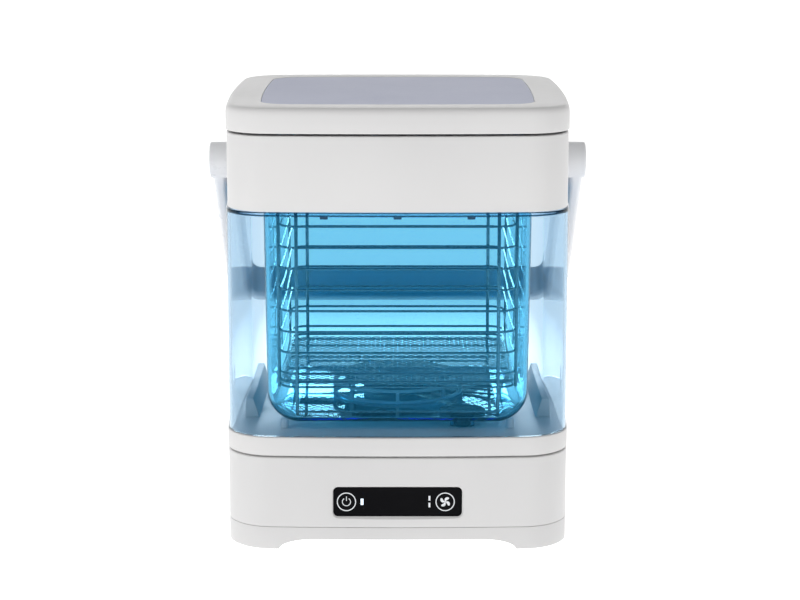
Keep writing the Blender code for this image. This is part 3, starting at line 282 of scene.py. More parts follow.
def tube(path, radius, sides=10, closed=False, up=(0, 0, 1)):
    """A circle carried along a path: its plane is spanned by the path's side and lift directions.

    The side direction is the product of the path's own direction and `up`, and the lift is the product
    of side and direction.
    """
    path = np.array(path, float)
    if closed:
        ahead = np.roll(path, -1, axis=0) - np.roll(path, 1, axis=0)
    else:
        ahead = np.gradient(path, axis=0)
    ahead /= np.linalg.norm(ahead, axis=1, keepdims=True)
    side = np.cross(ahead, np.array(up, float))
    side /= np.linalg.norm(side, axis=1, keepdims=True)
    lift = np.cross(side, ahead)
    around = np.linspace(0, 2 * math.pi, sides, endpoint=False)[None, :, None]
    rings = path[:, None] + radius * (np.cos(around) * side[:, None] + np.sin(around) * lift[:, None])
    return grid_patch(rings, closed)


def level_loop(half_x, half_y, corner, level, steps=8):
    """Centre line of a bent ring: four quarter circles joined by straight runs."""
    angles = math.pi / 2 * np.linspace(0, 1, steps + 1)
    parts = []
    for k, (sign_x, sign_y) in enumerate(((1, 1), (-1, 1), (-1, -1), (1, -1))):
        centre = np.array([sign_x * (half_x - corner), sign_y * (half_y - corner) + AXIS_Y])
        parts.append(centre + corner * unit(angles + k * math.pi / 2))
    flat = np.concatenate(parts)
    return np.column_stack([flat, np.full(len(flat), level)])


print("a test ring has", len(level_loop(0.1, 0.1, 0.01, 0.0)), "points")

# %% [markdown]
# ## Shared effects
#
# Two effects recur in these finishes, so each is one node group. The grain is the fine texture that a
# spark-eroded mould leaves on plastic. The haze is the faint unevenness of gloss where hands and cloths
# have been. They put out only values, and each material decides what to do with them.


# %% Node groups for grain and haze
def value_group(name, inputs, outputs):
    """An empty shader group with a Vector input, named value inputs and named value outputs."""
    group = bpy.data.node_groups.new(name, "ShaderNodeTree")
    group.interface.new_socket("Vector", in_out="INPUT", socket_type="NodeSocketVector")
    for label, default in inputs:
        socket = group.interface.new_socket(label, in_out="INPUT", socket_type="NodeSocketFloat")
        socket.default_value = default
    for label in outputs:
        group.interface.new_socket(label, in_out="OUTPUT", socket_type="NodeSocketFloat")
    return group, group.nodes.new("NodeGroupInput"), group.nodes.new("NodeGroupOutput")


def add(tree, kind, settings=(), **inputs):
    """A node with its settings and input values; an input may be another node's socket."""
    node = tree.nodes.new("ShaderNode" + kind)
    for label, value in settings:
        setattr(node, label, value)
    for label, value in inputs.items():
        socket = node.inputs[label.replace("_", " ")]
        if isinstance(value, bpy.types.NodeSocket):
            tree.links.new(value, socket)
        else:
            socket.default_value = value
    return node


def rescale(tree, value, start, end, low, high, curve="LINEAR"):
    """A value that runs from start to end, moved to run from low to high."""
    node = add(tree, "MapRange", [("interpolation_type", curve)], Value=value, From_Min=start, From_Max=end)
    node.inputs["To Min"].default_value = low
    node.inputs["To Max"].default_value = high
    return node.outputs["Result"]


def make_grain():
    """Height is fine noise; Shade is a slow change from 0 to 1."""
    group, start, end = value_group("moulded_grain", [("Scale", 900.0)], ["Height", "Shade"])
    fine = add(group, "TexNoise", Vector=start.outputs["Vector"], Scale=start.outputs["Scale"], Detail=3.0)
    slow = add(group, "TexNoise", Vector=start.outputs["Vector"], Scale=7.0, Detail=2.0)
    group.links.new(fine.outputs["Fac"], end.inputs["Height"])
    group.links.new(slow.outputs["Fac"], end.inputs["Shade"])
    return group


def make_haze():
    """Two noises of unlike size multiplied, so that patches of haze stay few and soft."""
    group, start, end = value_group("handling_haze", [("Scale", 14.0)], ["Haze"])
    wide = add(group, "TexNoise", Vector=start.outputs["Vector"], Scale=start.outputs["Scale"], Detail=4.0)
    small = add(group, "TexNoise", Vector=start.outputs["Vector"], Scale=160.0, Detail=2.0)
    mixed = add(group, "Math", [("operation", "MULTIPLY")])
    group.links.new(wide.outputs["Fac"], mixed.inputs[0])
    group.links.new(small.outputs["Fac"], mixed.inputs[1])
    group.links.new(mixed.outputs[0], end.inputs["Haze"])
    return group


grain = make_grain()
haze = make_haze()
HAZE_SPAN = (0.1, 0.45)

# %% [markdown]
# ## Finishes
#
# A finish starts from the Principled shader. Its base colour moves a little between two tones, its
# roughness follows the haze, and the grain lifts its normal. Values that don't change over a surface,
# such as the glass's transmission or the index of refraction, sit on the shader's own sockets.


# %% Material builders
def start_finish(name):
    material = bpy.data.materials.new(name)
    material.use_nodes = True
    tree = material.node_tree
    shader = tree.nodes["Principled BSDF"]
    place = tree.nodes.new("ShaderNodeTexCoord").outputs["Object"]
    return material, tree, shader, place


def use_group(tree, group, place, scale):
    node = tree.nodes.new("ShaderNodeGroup")
    node.node_tree = group
    tree.links.new(place, node.inputs["Vector"])
    node.inputs["Scale"].default_value = scale
    return node


def tone(tree, value, low, high):
    """A colour between two, by a value."""
    ramp = tree.nodes.new("ShaderNodeValToRGB")
    ramp.color_ramp.elements[0].position = 0.3
    ramp.color_ramp.elements[1].position = 0.7
    ramp.color_ramp.elements[0].color = (*low, 1)
    ramp.color_ramp.elements[1].color = (*high, 1)
    tree.links.new(value, ramp.inputs["Fac"])
    return ramp.outputs["Color"]


def finish(name, low, high, rough, scale=900.0, lift=0.05, metallic=0.0, haze_scale=14.0, **constants):
    """A solid finish: two tones, a roughness range that the haze moves through, and grain of a height."""
    material, tree, shader, place = start_finish(name)
    texture = use_group(tree, grain, place, scale)
    smears = use_group(tree, haze, place, haze_scale)
    tree.links.new(tone(tree, texture.outputs["Shade"], low, high), shader.inputs["Base Color"])
    tree.links.new(rescale(tree, smears.outputs["Haze"], *HAZE_SPAN, *rough), shader.inputs["Roughness"])
    bump = add(tree, "Bump", Height=texture.outputs["Height"], Strength=lift, Distance=0.0002)
    tree.links.new(bump.outputs["Normal"], shader.inputs["Normal"])
    shader.inputs["Metallic"].default_value = metallic
    for label, value in constants.items():
        shader.inputs[label.replace("_", " ")].default_value = value
    return material


# %% The solid finishes
white = finish(
    "white_casing", (0.68, 0.675, 0.675), (0.72, 0.715, 0.712), (0.38, 0.50), scale=1400, lift=0.06
)
# The handle is the same kind of white plastic as the casing, drawn lighter: painted light that stands in for the
# light falling on its arms.
arm_white_painted_light = finish(
    "handle_white", (0.78, 0.79, 0.81), (0.83, 0.84, 0.86), (0.26, 0.40), scale=1400, lift=0.05
)
pale = finish("pale_moulding", (0.62, 0.66, 0.70), (0.70, 0.74, 0.78), (0.38, 0.5))
rubber = finish(
    "foot_rubber", (0.022, 0.022, 0.024), (0.034, 0.034, 0.037), (0.62, 0.82), scale=2200, lift=0.4
)
black_case = finish("black_moulding", (0.018, 0.018, 0.019), (0.03, 0.03, 0.031), (0.4, 0.55), lift=0.2)
rotor_blue = finish("impeller_plastic", (0.018, 0.045, 0.085), (0.03, 0.065, 0.11), (0.28, 0.42), lift=0.08)
gasket = finish("clear_silicone", (0.55, 0.57, 0.60), (0.62, 0.64, 0.67), (0.5, 0.66), lift=0.15)
magnet = finish(
    "nickel_plating", (0.60, 0.59, 0.57), (0.68, 0.67, 0.65), (0.12, 0.26), lift=0.03, metallic=1.0
)
cloth_steel = finish(
    "bright_cloth_wire",
    (0.58, 0.59, 0.61),
    (0.70, 0.71, 0.73),
    (0.20, 0.32),
    scale=2600,
    lift=0.05,
    metallic=1.0,
)
wire_steel = finish(
    "polished_wire", (0.24, 0.25, 0.27), (0.32, 0.33, 0.35), (0.14, 0.26), scale=2600, lift=0.05, metallic=1.0
)

# %% [markdown]
# Turned and rolled steel shows fine lines that run one way. The same noise, squeezed along one direction,
# gives them. The board is green lacquer over copper tracks, which a brick pattern with thin joints
# suggests, and its solder mask is glossier where there is copper under it.


# %% Steel and board
def make_brushed():
    material, tree, shader, place = start_finish("brushed_steel")
    squeeze = add(tree, "Mapping", Vector=place)
    squeeze.inputs["Scale"].default_value = (1.0, 1.0, 30.0)
    lines = use_group(tree, grain, squeeze.outputs["Vector"], 160.0)
    smears = use_group(tree, haze, place, 18.0)
    colour = tone(tree, lines.outputs["Height"], (0.42, 0.42, 0.43), (0.60, 0.60, 0.61))
    tree.links.new(colour, shader.inputs["Base Color"])
    tree.links.new(rescale(tree, smears.outputs["Haze"], *HAZE_SPAN, 0.24, 0.40), shader.inputs["Roughness"])
    bump = add(tree, "Bump", Height=lines.outputs["Height"], Strength=0.08, Distance=0.0002)
    tree.links.new(bump.outputs["Normal"], shader.inputs["Normal"])
    shader.inputs["Metallic"].default_value = 1.0
    return material


def make_board_finish():
    material, tree, shader, place = start_finish("lacquered_board")
    tracks = add(tree, "TexBrick", Vector=place, Scale=1.0)
    tracks.inputs["Brick Width"].default_value = 0.011
    tracks.inputs["Row Height"].default_value = 0.0035
    tracks.inputs["Mortar Size"].default_value = 0.00035
    tracks.inputs["Color1"].default_value = (0.012, 0.10, 0.045, 1)
    tracks.inputs["Color2"].default_value = (0.016, 0.13, 0.060, 1)
    tracks.inputs["Mortar"].default_value = (0.05, 0.26, 0.12, 1)
    tree.links.new(tracks.outputs["Color"], shader.inputs["Base Color"])
    tree.links.new(rescale(tree, tracks.outputs["Fac"], 0, 1, 0.45, 0.25), shader.inputs["Roughness"])
    bump = add(tree, "Bump", Height=tracks.outputs["Fac"], Strength=0.3, Distance=0.0001)
    tree.links.new(bump.outputs["Normal"], shader.inputs["Normal"])
    return material


steel = make_brushed()
board = make_board_finish()

# %% [markdown]
# Clear blue plastic takes its colour from its depth. Light loses red with every millimetre that it
# travels inside, so a thin wall looks pale, two walls look deeper, and an edge seen end on looks dark
# teal. That is volume absorption, so the surface itself stays nearly colourless and bends the light. The
# bucket is a cleaner blue than the outer wall. Soft light hardly finds its way through a bending surface,
# so for shadow rays and diffuse rays the surface is plainly open, and only the absorption tints them.


# %% Clear plastics
def clear_finish(name, tint, density, rough):
    """A refracting shader with absorption inside: a channel fades by density times one less tint."""
    material, tree, shader, place = start_finish(name)
    smears = use_group(tree, haze, place, 10.0)
    tree.links.new(rescale(tree, smears.outputs["Haze"], *HAZE_SPAN, *rough), shader.inputs["Roughness"])
    ripple = use_group(tree, grain, place, 22.0)
    bump = add(tree, "Bump", Height=ripple.outputs["Height"], Strength=0.02, Distance=0.001)
    tree.links.new(bump.outputs["Normal"], shader.inputs["Normal"])
    shader.inputs["Base Color"].default_value = (0.985, 0.995, 1.0, 1)
    shader.inputs["Transmission Weight"].default_value = 1.0
    shader.inputs["IOR"].default_value = 1.46
    shader.inputs["Specular Tint"].default_value = (0.05, 0.5, 0.85, 1)
    rays = tree.nodes.new("ShaderNodeLightPath")
    passing = add(tree, "Math", [("operation", "MAXIMUM")])
    tree.links.new(rays.outputs["Is Shadow Ray"], passing.inputs[0])
    tree.links.new(rays.outputs["Is Diffuse Ray"], passing.inputs[1])
    open_way = tree.nodes.new("ShaderNodeBsdfTransparent")
    choice = tree.nodes.new("ShaderNodeMixShader")
    tree.links.new(passing.outputs[0], choice.inputs[0])
    tree.links.new(shader.outputs["BSDF"], choice.inputs[1])
    tree.links.new(open_way.outputs["BSDF"], choice.inputs[2])
    tree.links.new(choice.outputs["Shader"], tree.nodes["Material Output"].inputs["Surface"])
    inside = tree.nodes.new("ShaderNodeVolumeAbsorption")
    inside.inputs["Color"].default_value = (*tint, 1)
    inside.inputs["Density"].default_value = density
    tree.links.new(inside.outputs["Volume"], tree.nodes["Material Output"].inputs["Volume"])
    return material


shell_blue = clear_finish("clear_blue_wall", (0.03, 0.41, 0.66), 120.0, (0.0, 0.02))
bucket_blue = clear_finish("clear_blue_bucket", (0.0, 0.75, 0.93), 195.0, (0.0, 0.02))

# %% [markdown]
# The lid's window is acrylic with a satin face: light gets through, but shapes behind it don't. The
# touch panel is the opposite, black glass that reflects sharply and hides everything behind it. Its
# signs and lamps are printed or lit from behind.


# %% Window, black glass and lamps
frosted = finish(
    "frosted_window",
    (0.53, 0.56, 0.70),
    (0.58, 0.61, 0.75),
    (0.50, 0.62),
    scale=2400,
    lift=0.12,
    haze_scale=6.0,
    Specular_IOR_Level=0.2,
)
black_glass = finish(
    "black_glass",
    (0.002, 0.002, 0.003),
    (0.004, 0.004, 0.005),
    (0.04, 0.09),
    scale=60,
    lift=0.004,
    Specular_IOR_Level=0.05,
)


def lamp_finish(name, colour, strength):
    """A printed or lit sign: its own light varies a little, as a lamp behind a diffuser does."""
    material, tree, shader, place = start_finish(name)
    texture = use_group(tree, grain, place, 500.0)
    low = tuple(0.9 * channel for channel in colour)
    lit = tone(tree, texture.outputs["Height"], low, colour)
    tree.links.new(lit, shader.inputs["Base Color"])
    tree.links.new(lit, shader.inputs["Emission Color"])
    shader.inputs["Emission Strength"].default_value = strength
    shader.inputs["Roughness"].default_value = 0.4
    return material


sign_white = lamp_finish("sign_print", (0.62, 0.64, 0.66), 0.35)
lamp_blue = lamp_finish("lamp_light", (0.75, 0.88, 1.0), 1.6)
print(len(bpy.data.materials), "finishes")

# %% [markdown]
# ## Carving with solids
#
# Openings that cross a curved wall are hard to place on a grid, so they are carved: a plain solid is
# taken away from the casing, and then thrown away. The exact method keeps every edge crisp.


# %% Carve and weld
def carve(piece, patches, operation="DIFFERENCE"):
    """Takes each patch's solid away from the piece, or adds it, and keeps the result as the piece's mesh."""
    tools = []
    for number, (points, faces, ends) in enumerate(patches):
        mesh = bpy.data.meshes.new(f"tool_{number}")
        mesh.from_pydata(points.tolist(), [], faces.tolist() + ends)
        tool = bpy.data.objects.new(f"tool_{number}", mesh)
        bpy.context.scene.collection.objects.link(tool)
        step = piece.modifiers.new(f"carve_{number}", "BOOLEAN")
        step.operation = operation
        step.solver = "EXACT"
        step.object = tool
        tools.append(tool)
    graph = bpy.context.evaluated_depsgraph_get()
    result = bpy.data.meshes.new_from_object(piece.evaluated_get(graph))
    piece.modifiers.clear()
    piece.data = result
    result.shade_smooth()
    result.set_sharp_from_angle(angle=math.radians(32))
    for tool in tools:
        bpy.data.objects.remove(tool)
    return piece


def block(low, high):
    """A box between two corners, in the body's own axes."""
    (x0, y0, z0), (x1, y1, z1) = low, high
    loop = np.array([[x0, y0], [x1, y0], [x1, y1], [x0, y1]]) + [0.0, AXIS_Y]
    rings = np.stack([np.column_stack([loop, np.full(4, level)]) for level in (z0, z1)])
    return grid_patch(rings)


def turn_patch(patch, turn, centre=(0.0, 0.0)):
    """Turns a patch about an upright axis through a centre given in the body's own axes."""
    points, faces, ends = patch
    axis = np.array([centre[0], centre[1] + AXIS_Y, 0.0])
    c, s = math.cos(turn), math.sin(turn)
    return (points - axis) @ np.array([[c, s, 0], [-s, c, 0], [0, 0, 1]]) + axis, faces, ends


def facing_front(patch, level):
    """Stands a flat patch up: its height becomes distance towards the front, its Y becomes height."""
    points, faces, ends = patch
    x, y, z = points.T
    return np.column_stack([x, AXIS_Y - z, y - AXIS_Y + level]), faces, ends


four_corners = ((1, 1), (-1, 1), (-1, -1), (1, -1))
print("carving tools ready")

# %% [markdown]
# ## Base
#
# The base is two mouldings. The lower one is a shallow tray on four feet, arched between them so that
# fingers fit under it. The upper one is the tall housing, with a shoulder that the tank sits on. Both are
# drawn as one section carried round the plan, so the thin seam between them stays even all round.

# %% Bottom tray
tray_low, tray_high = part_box("bottom_chassis")
SEAM = 0.0203
TRAY_FLOOR = 0.0140
ARCH_TOP = 0.0100
ARCH_FLAT = 0.0700
ARCH_END = 0.0990
base_inset = insets["base_housing"]
lip = base_inset + WALL + 0.0003
tray = make_piece(
    "bottom_tray",
    casing(
        [
            (body_plan, base_inset + 0.0022, tray_low.z, 0),
            (body_plan, base_inset, tray_low.z, 0.0010),
            (body_plan, base_inset, SEAM, 0.0004),
            (body_plan, lip, SEAM, 0),
            (body_plan, lip, tray_high.z, 0.0004),
            (body_plan, lip + 0.0022, tray_high.z, 0.0004),
            (body_plan, lip + 0.0022, TRAY_FLOOR, 0),
        ],
        closed=False,
    ),
    white,
    "base",
    ["bottom_chassis"],
)


def arch_tool(turn):
    """Flat in the middle, then a quarter of an ellipse down to each foot, drawn across the whole body."""
    angles = np.linspace(0, math.pi / 2, 17)
    x = ARCH_FLAT + (ARCH_END - ARCH_FLAT) * np.cos(angles)
    z = tray_low.z + (ARCH_TOP - tray_low.z) * np.sin(angles)
    x = np.concatenate([[ARCH_END], x, -x[::-1], [-ARCH_END]])
    z = np.concatenate([[-0.005], z, z[::-1], [-0.005]])
    rings = np.stack([np.column_stack([x, np.full(len(x), y), z]) for y in (AXIS_Y - 0.4, AXIS_Y + 0.4)])
    return turn_patch(grid_patch(rings), turn)


foot_low, foot_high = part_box("rubber_foot_1")
foot_radius = (foot_high.x - foot_low.x) / 2
FOOT_PLACE = (foot_high.x + foot_low.x) / 2
foot_pockets = [
    peg(foot_radius + GAP, -0.004, foot_high.z + GAP, (x * FOOT_PLACE, y * FOOT_PLACE + AXIS_Y, 0))
    for x, y in four_corners
]
screw_low, screw_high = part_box("case_screw_1")
SCREW_X = (screw_low.x + screw_high.x) / 2
SCREW_Y = (screw_low.y + screw_high.y) / 2 - AXIS_Y
SCREW_HOLE = 0.0018
screw_holes = [
    peg(SCREW_HOLE, 0, 0.016, (x * SCREW_X, y * SCREW_Y + AXIS_Y, 0), 24)
    for x, y in four_corners
]
carve(tray, [arch_tool(0), arch_tool(math.pi / 2)] + foot_pockets + screw_holes)
print("tray:", len(tray.data.polygons), "faces")

# %% Housing
PLINTH_TOP = 0.0939
SHOULDER = 0.0802
DOME_RADIUS = 0.0560
PLATE = 0.0029
plinth = base_inset + 0.0038
house_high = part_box("base_housing")[1]
dome = circle_plan(DOME_RADIUS)
dome_inside = circle_plan(DOME_RADIUS - PLATE)
housing = make_piece(
    "drive_housing",
    casing(
        [
            (dome_inside, 0, house_high.z - PLATE + 0.0005, 0),
            (dome_inside, 0, PLINTH_TOP - PLATE, 0),
            (body_plan, plinth + 0.003, PLINTH_TOP - PLATE, 0.001),
            (body_plan, plinth + 0.003, SHOULDER - PLATE, 0.0004),
            (body_plan, base_inset + WALL, SHOULDER - PLATE, 0.002),
            (body_plan, base_inset + WALL, SEAM + 0.0003, 0.0003),
            (body_plan, base_inset, SEAM + 0.0003, 0.0004),
            (body_plan, base_inset, SHOULDER, 0.0012),
            (body_plan, plinth, SHOULDER, 0.0006),
            (body_plan, plinth, PLINTH_TOP, 0.0010),
            (dome, 0, PLINTH_TOP, 0.0010),
            (dome, 0, house_high.z, 0.0015),
            (dome, 0.004, house_high.z, 0),
        ],
        closed=False,
    ),
    white,
    "base",
    ["base_housing"],
)
glass_low, glass_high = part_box("panel_glass")
PANEL_HALF_X = (glass_high.x - glass_low.x) / 2
PANEL_HALF_Z = (glass_high.z - glass_low.z) / 2
PANEL_LEVEL = (glass_high.z + glass_low.z) / 2
PANEL_FRONT = AXIS_Y - glass_low.y
PANEL_CORNER = 0.0040


def panel_tool(near, far, start, end):
    """A tapering plug that carves the panel's recess, grown by `near` at its back and `far` at its front."""
    rings = []
    for margin, level in ((near, start), (far, end)):
        corner = PANEL_CORNER + max(margin, 0)
        rings.append(ring(straight_plan(PANEL_HALF_X + margin, PANEL_HALF_Z + margin, corner), 0, level))
    return facing_front(grid_patch(np.array(rings)), PANEL_LEVEL)


inlet_low, inlet_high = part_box("power_inlet")
carve(
    housing,
    [
        panel_tool(0.0002, 0.0040, PANEL_FRONT - 0.0003, BODY_HALF + 0.001),
        panel_tool(0.0002, 0.0002, PANEL_FRONT - 0.004, PANEL_FRONT + 0.001),
        block(
            (inlet_low.x - 0.0003, 0.13, inlet_low.z - 0.0003),
            (inlet_high.x + 0.0003, 0.15, inlet_high.z + 0.0003),
        ),
    ],
)
print("housing:", len(housing.data.polygons), "faces")

# %% Feet
foot_profile = [(0, foot_high.z), (foot_radius, foot_high.z), (foot_radius, 0), (0, 0)]
for number, (x, y) in enumerate(four_corners, 1):
    patch = turned(foot_profile, (x * FOOT_PLACE, y * FOOT_PLACE + AXIS_Y, 0), 48, edge=0.0006)
    make_piece(f"foot_{number}", patch, rubber, "base", [f"rubber_foot_{number}"])
print("feet stand at", round(FOOT_PLACE, 4), "from the axis")

# %% [markdown]
# ## Touch panel
#
# The panel is one piece of black glass with softened edges. Its keys are places on the glass, each with a
# ring round a sign: the power sign is a broken circle with a stroke, and the fan sign has four blades.
# Between them are a lamp and a two-bar display. Each sign is a flat ribbon, made like any other grid.

# %% Glass
glass_plan = straight_plan(PANEL_HALF_X, PANEL_HALF_Z, PANEL_CORNER)
glass = rounded_rings(
    [
        (glass_plan, 0.0008, PANEL_FRONT - 0.0018, 0),
        (glass_plan, 0, PANEL_FRONT - 0.0018, 0.0003),
        (glass_plan, 0, PANEL_FRONT, 0.0005),
        (glass_plan, 0.0012, PANEL_FRONT, 0),
    ],
    closed=False,
)
glass_patch = facing_front(grid_patch(glass), PANEL_LEVEL)
make_piece("touch_glass", glass_patch, black_glass, "base", ["panel_glass"])

# %% Signs on the glass
SIGN_RADIUS = 0.0080
STROKE = 0.0008
SIGN_LIFT = 0.00012


def ribbon(path, width, thickness=0.0001):
    """A flat ribbon standing on the glass: a path in X and height, widened by half the width to each side."""
    path = np.array(path, float)
    ahead = np.gradient(path, axis=0)
    ahead /= np.linalg.norm(ahead, axis=1, keepdims=True)
    side = np.column_stack([-ahead[:, 1], ahead[:, 0]]) * width / 2
    front = AXIS_Y - PANEL_FRONT - SIGN_LIFT
    corners = []
    back = front + thickness
    for way, y in ((1, front), (-1, front), (-1, back), (1, back)):
        edge = path + way * side
        corners.append(np.column_stack([edge[:, 0], np.full(len(edge), y), edge[:, 1]]))
    return grid_patch(np.stack(corners, axis=1))


def stroke(x, low, high, width):
    """An upright stroke with a point at its middle."""
    return ribbon([(x, low), (x, (low + high) / 2), (x, high)], width)


def arc(centre, radius, start, stop, steps=48):
    angles = np.radians(np.linspace(start, stop, steps))
    return np.array(centre) + radius * unit(angles)


def blade(centre, turn, reach=0.0045):
    """One fan blade: a leaf whose half width is a sine along its length, leaning to one side."""
    t = np.linspace(0.02, 1, 14)
    spine = np.column_stack([reach * t, 0.0011 * np.sin(math.pi * t)])
    width = 0.0022 * np.sin(math.pi * np.clip(t * 0.86, 0, 1)) + 0.0002
    c, s = math.cos(turn), math.sin(turn)
    spine = spine @ np.array([[c, s], [-s, c]]) + centre
    return ribbon(spine, width[:, None])


def sign(name, patches, material):
    return make_piece(name, together(patches), material, "base", flat=True)


power = (-0.0426, PANEL_LEVEL)
fan = (0.0396, PANEL_LEVEL)
sign(
    "power_sign",
    [
        ribbon(arc(power, SIGN_RADIUS - STROKE / 2, 0, 360, 97), STROKE),
        ribbon(arc(power, 0.0034, 125, 415), STROKE * 0.8),
        ribbon([(power[0], power[1] + up) for up in (0.0008, 0.0030, 0.0046)], STROKE * 0.8),
    ],
    sign_white,
)
sign(
    "fan_sign",
    [ribbon(arc(fan, SIGN_RADIUS - STROKE / 2, 0, 360, 97), STROKE)]
    + [blade(np.array(fan), math.radians(45 + 90 * k)) for k in range(4)],
    sign_white,
)
BAR_HALF = 0.0020
bar_levels = (PANEL_LEVEL + 0.0031, PANEL_LEVEL - 0.0028)
bars = [stroke(0.0265, level - BAR_HALF, level + BAR_HALF, 0.0016) for level in bar_levels]
sign("display_bars", bars, sign_white)
sign("power_lamp", [stroke(-0.0296, PANEL_LEVEL - 0.0026, PANEL_LEVEL + 0.0026, 0.0021)], lamp_blue)
print("signs on the glass:", 4)

# %% [markdown]
# ## Tank
#
# The tank is a stack: a white deck band, a clear outer wall, and a white upper frame that carries the
# bucket's flange. Each is again one section carried round the plan. Small radii matter here, because a
# clear wall shows its edges as dark lines and a white one shows them as bright lines.

# %% Deck band
deck_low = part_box("tank_deck")[0]
DECK_TOP = 0.0977
DECK_EDGE = 0.0014
opening = circle_plan(DOME_RADIUS + 0.0025)
deck = make_piece(
    "deck_band",
    casing(
        [
            (body_plan, 0, deck_low.z, 0.0010),
            (body_plan, 0, DECK_TOP, DECK_EDGE),
            (opening, 0, DECK_TOP, 0.0008),
            (opening, 0, PLINTH_TOP + 0.0003, 0.0004),
            (body_plan, WALL, PLINTH_TOP + 0.0003, 0.0010),
            (body_plan, WALL, deck_low.z, 0.0006),
        ]
    ),
    white,
    "tank",
    ["tank_deck"],
)


def rail(side):
    """A side rail: a leaning section drawn along the front-to-back direction, with rounded ends."""
    section = np.array([(0.1195, 0.0), (0.1328, 0.0), (0.1320, 0.0168), (0.1250, 0.0168)])
    fine = smooth_profile(np.vstack([section, section[:1]]), 0.0012)[:-1]
    middle = section.mean(axis=0)
    stops = ((-0.0580, 0.90), (-0.0574, 0.98), (-0.0566, 1.0), (0.0986, 1.0), (0.0994, 0.98), (0.1, 0.90))
    rings = []
    for y, size in stops:
        flat = middle + (fine - middle) * size
        level = flat[:, 1] + DECK_TOP - 0.0002
        rings.append(np.column_stack([side * flat[:, 0], np.full(len(flat), y + AXIS_Y), level]))
    return grid_patch(np.array(rings))


carve(deck, [rail(1), rail(-1)], "UNION")
plug_low, plug_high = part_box("drain_plug")
DRAIN_X = (plug_low.x + plug_high.x) / 2
DRAIN_Y = (plug_low.y + plug_high.y) / 2 - AXIS_Y
SPOUT_RADIUS = 0.0103
SPOUT_BORE = 0.0075
drain = (DRAIN_X, DRAIN_Y + AXIS_Y, 0)
carve(deck, [peg(SPOUT_RADIUS + GAP, 0.09, 0.10, drain, 64)])
print("deck:", len(deck.data.polygons), "faces")

# %% Clear outer wall
wall_low, wall_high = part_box("tank_shell")
STEP = 0.2857
shell_inset = insets["tank_shell"]
neck = insets["upper_frame"] + WALL + 0.0003
make_piece(
    "outer_wall",
    casing(
        [
            (body_plan, shell_inset, wall_low.z, 0.0005),
            (body_plan, shell_inset, STEP, 0.0016),
            (body_plan, neck, STEP, 0.0004),
            (body_plan, neck, wall_high.z, 0.0008),
            (body_plan, neck + WALL, wall_high.z, 0.0008),
            (body_plan, neck + WALL, STEP - WALL, 0.0004),
            (body_plan, shell_inset + WALL, STEP - WALL, 0.0014),
            (body_plan, shell_inset + WALL, wall_low.z, 0.0005),
        ]
    ),
    shell_blue,
    "tank",
    ["tank_shell"],
)

# %% [markdown]
# Three small catches hold the outer wall to the upper frame. They show as short dark dashes along the
# step at the top of the clear wall.

# %% Catches
catch_y = -(BODY_HALF - shell_inset - WALL) + 0.0008
for number, x in enumerate((-0.060, 0.0, 0.060), 1):
    low = np.array([x - 0.0032, catch_y, STEP - WALL - 0.0026])
    high = np.array([x + 0.0032, catch_y + 0.0016, STEP - WALL - 0.0004])
    name = f"wall_catch_{number}"
    make_piece(name, block(low, high), rotor_blue, "tank", flat=True)
print("catches at y =", round(catch_y + AXIS_Y, 4))

# %% Upper frame
bucket_low, bucket_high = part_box("bucket")
FLANGE_WIDTH = 0.0070
MOUTH_X = (bucket_high.x - bucket_low.x) / 2 - FLANGE_WIDTH
MOUTH_Y = (bucket_high.y - bucket_low.y) / 2 - FLANGE_WIDTH
MOUTH_CORNER = 0.0220
FLANGE_BOTTOM = bucket_high.z - 0.0030
mouth = straight_plan(MOUTH_X, MOUTH_Y, MOUTH_CORNER)
frame_low, frame_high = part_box("upper_frame")
rim = insets["upper_frame"]
ledge = FLANGE_BOTTOM - 0.0003
upper = make_piece(
    "upper_casing",
    casing(
        [
            (body_plan, rim, frame_low.z, 0.0006),
            (body_plan, rim, frame_high.z, 0.0012),
            (mouth, -FLANGE_WIDTH - 0.0005, frame_high.z, 0.0004),
            (mouth, -FLANGE_WIDTH - 0.0005, ledge, 0.0003),
            (mouth, -0.0006, ledge, 0.0005),
            (mouth, -0.0006, ledge - WALL, 0.0005),
            (body_plan, rim + WALL, ledge - WALL, 0.0020),
            (body_plan, rim + WALL, frame_low.z, 0.0005),
        ]
    ),
    white,
    "tank",
    ["upper_frame"],
)
PIN_BORE = 0.0053
pivot = (0, AXIS_Y, PIVOT_LEVEL)
carve(upper, [peg(PIN_BORE, side * 0.1362, side * 0.1500, pivot, 32, "x") for side in (1, -1)])
print("mouth", round(MOUTH_X, 4), "by", round(MOUTH_Y, 4))

# %% [markdown]
# The bucket hangs in the upper frame by its flange. Its walls lean in a little towards the bottom so
# that it leaves its mould, and its bottom edge is a wide sweep at the sides and a small one at the front.

# %% Bucket
BUCKET_WALL = 0.0032
BUCKET_FLOOR = 0.0035
DRAFT = 0.0025
BOTTOM = 0.1058
SWEEP_X = 0.0240
SWEEP_Y = 0.0065


def bucket_ring(level, wall, inset_x, inset_y):
    """The mouth's outline less the draft at this height, the bottom's sweep and the wall."""
    draft = DRAFT * (FLANGE_BOTTOM - level) / (FLANGE_BOTTOM - BOTTOM)
    corner = MOUTH_CORNER - 0.0180 * inset_x / SWEEP_X
    return ring(straight_plan(MOUTH_X - draft - inset_x, MOUTH_Y - draft - inset_y, corner), wall, level)


def bucket_sweep(floor, wall, steps=14):
    """Quarter ellipses from the floor up: height by one less cosine, inset by one less sine."""
    wide = SWEEP_X - wall
    rings = []
    for angle in np.linspace(0, math.pi / 2, steps + 1):
        share = 1 - math.sin(angle)
        level = floor + wide * (1 - math.cos(angle))
        rings.append(bucket_ring(level, wall, wide * share, (SWEEP_Y - wall) * share))
    return rings


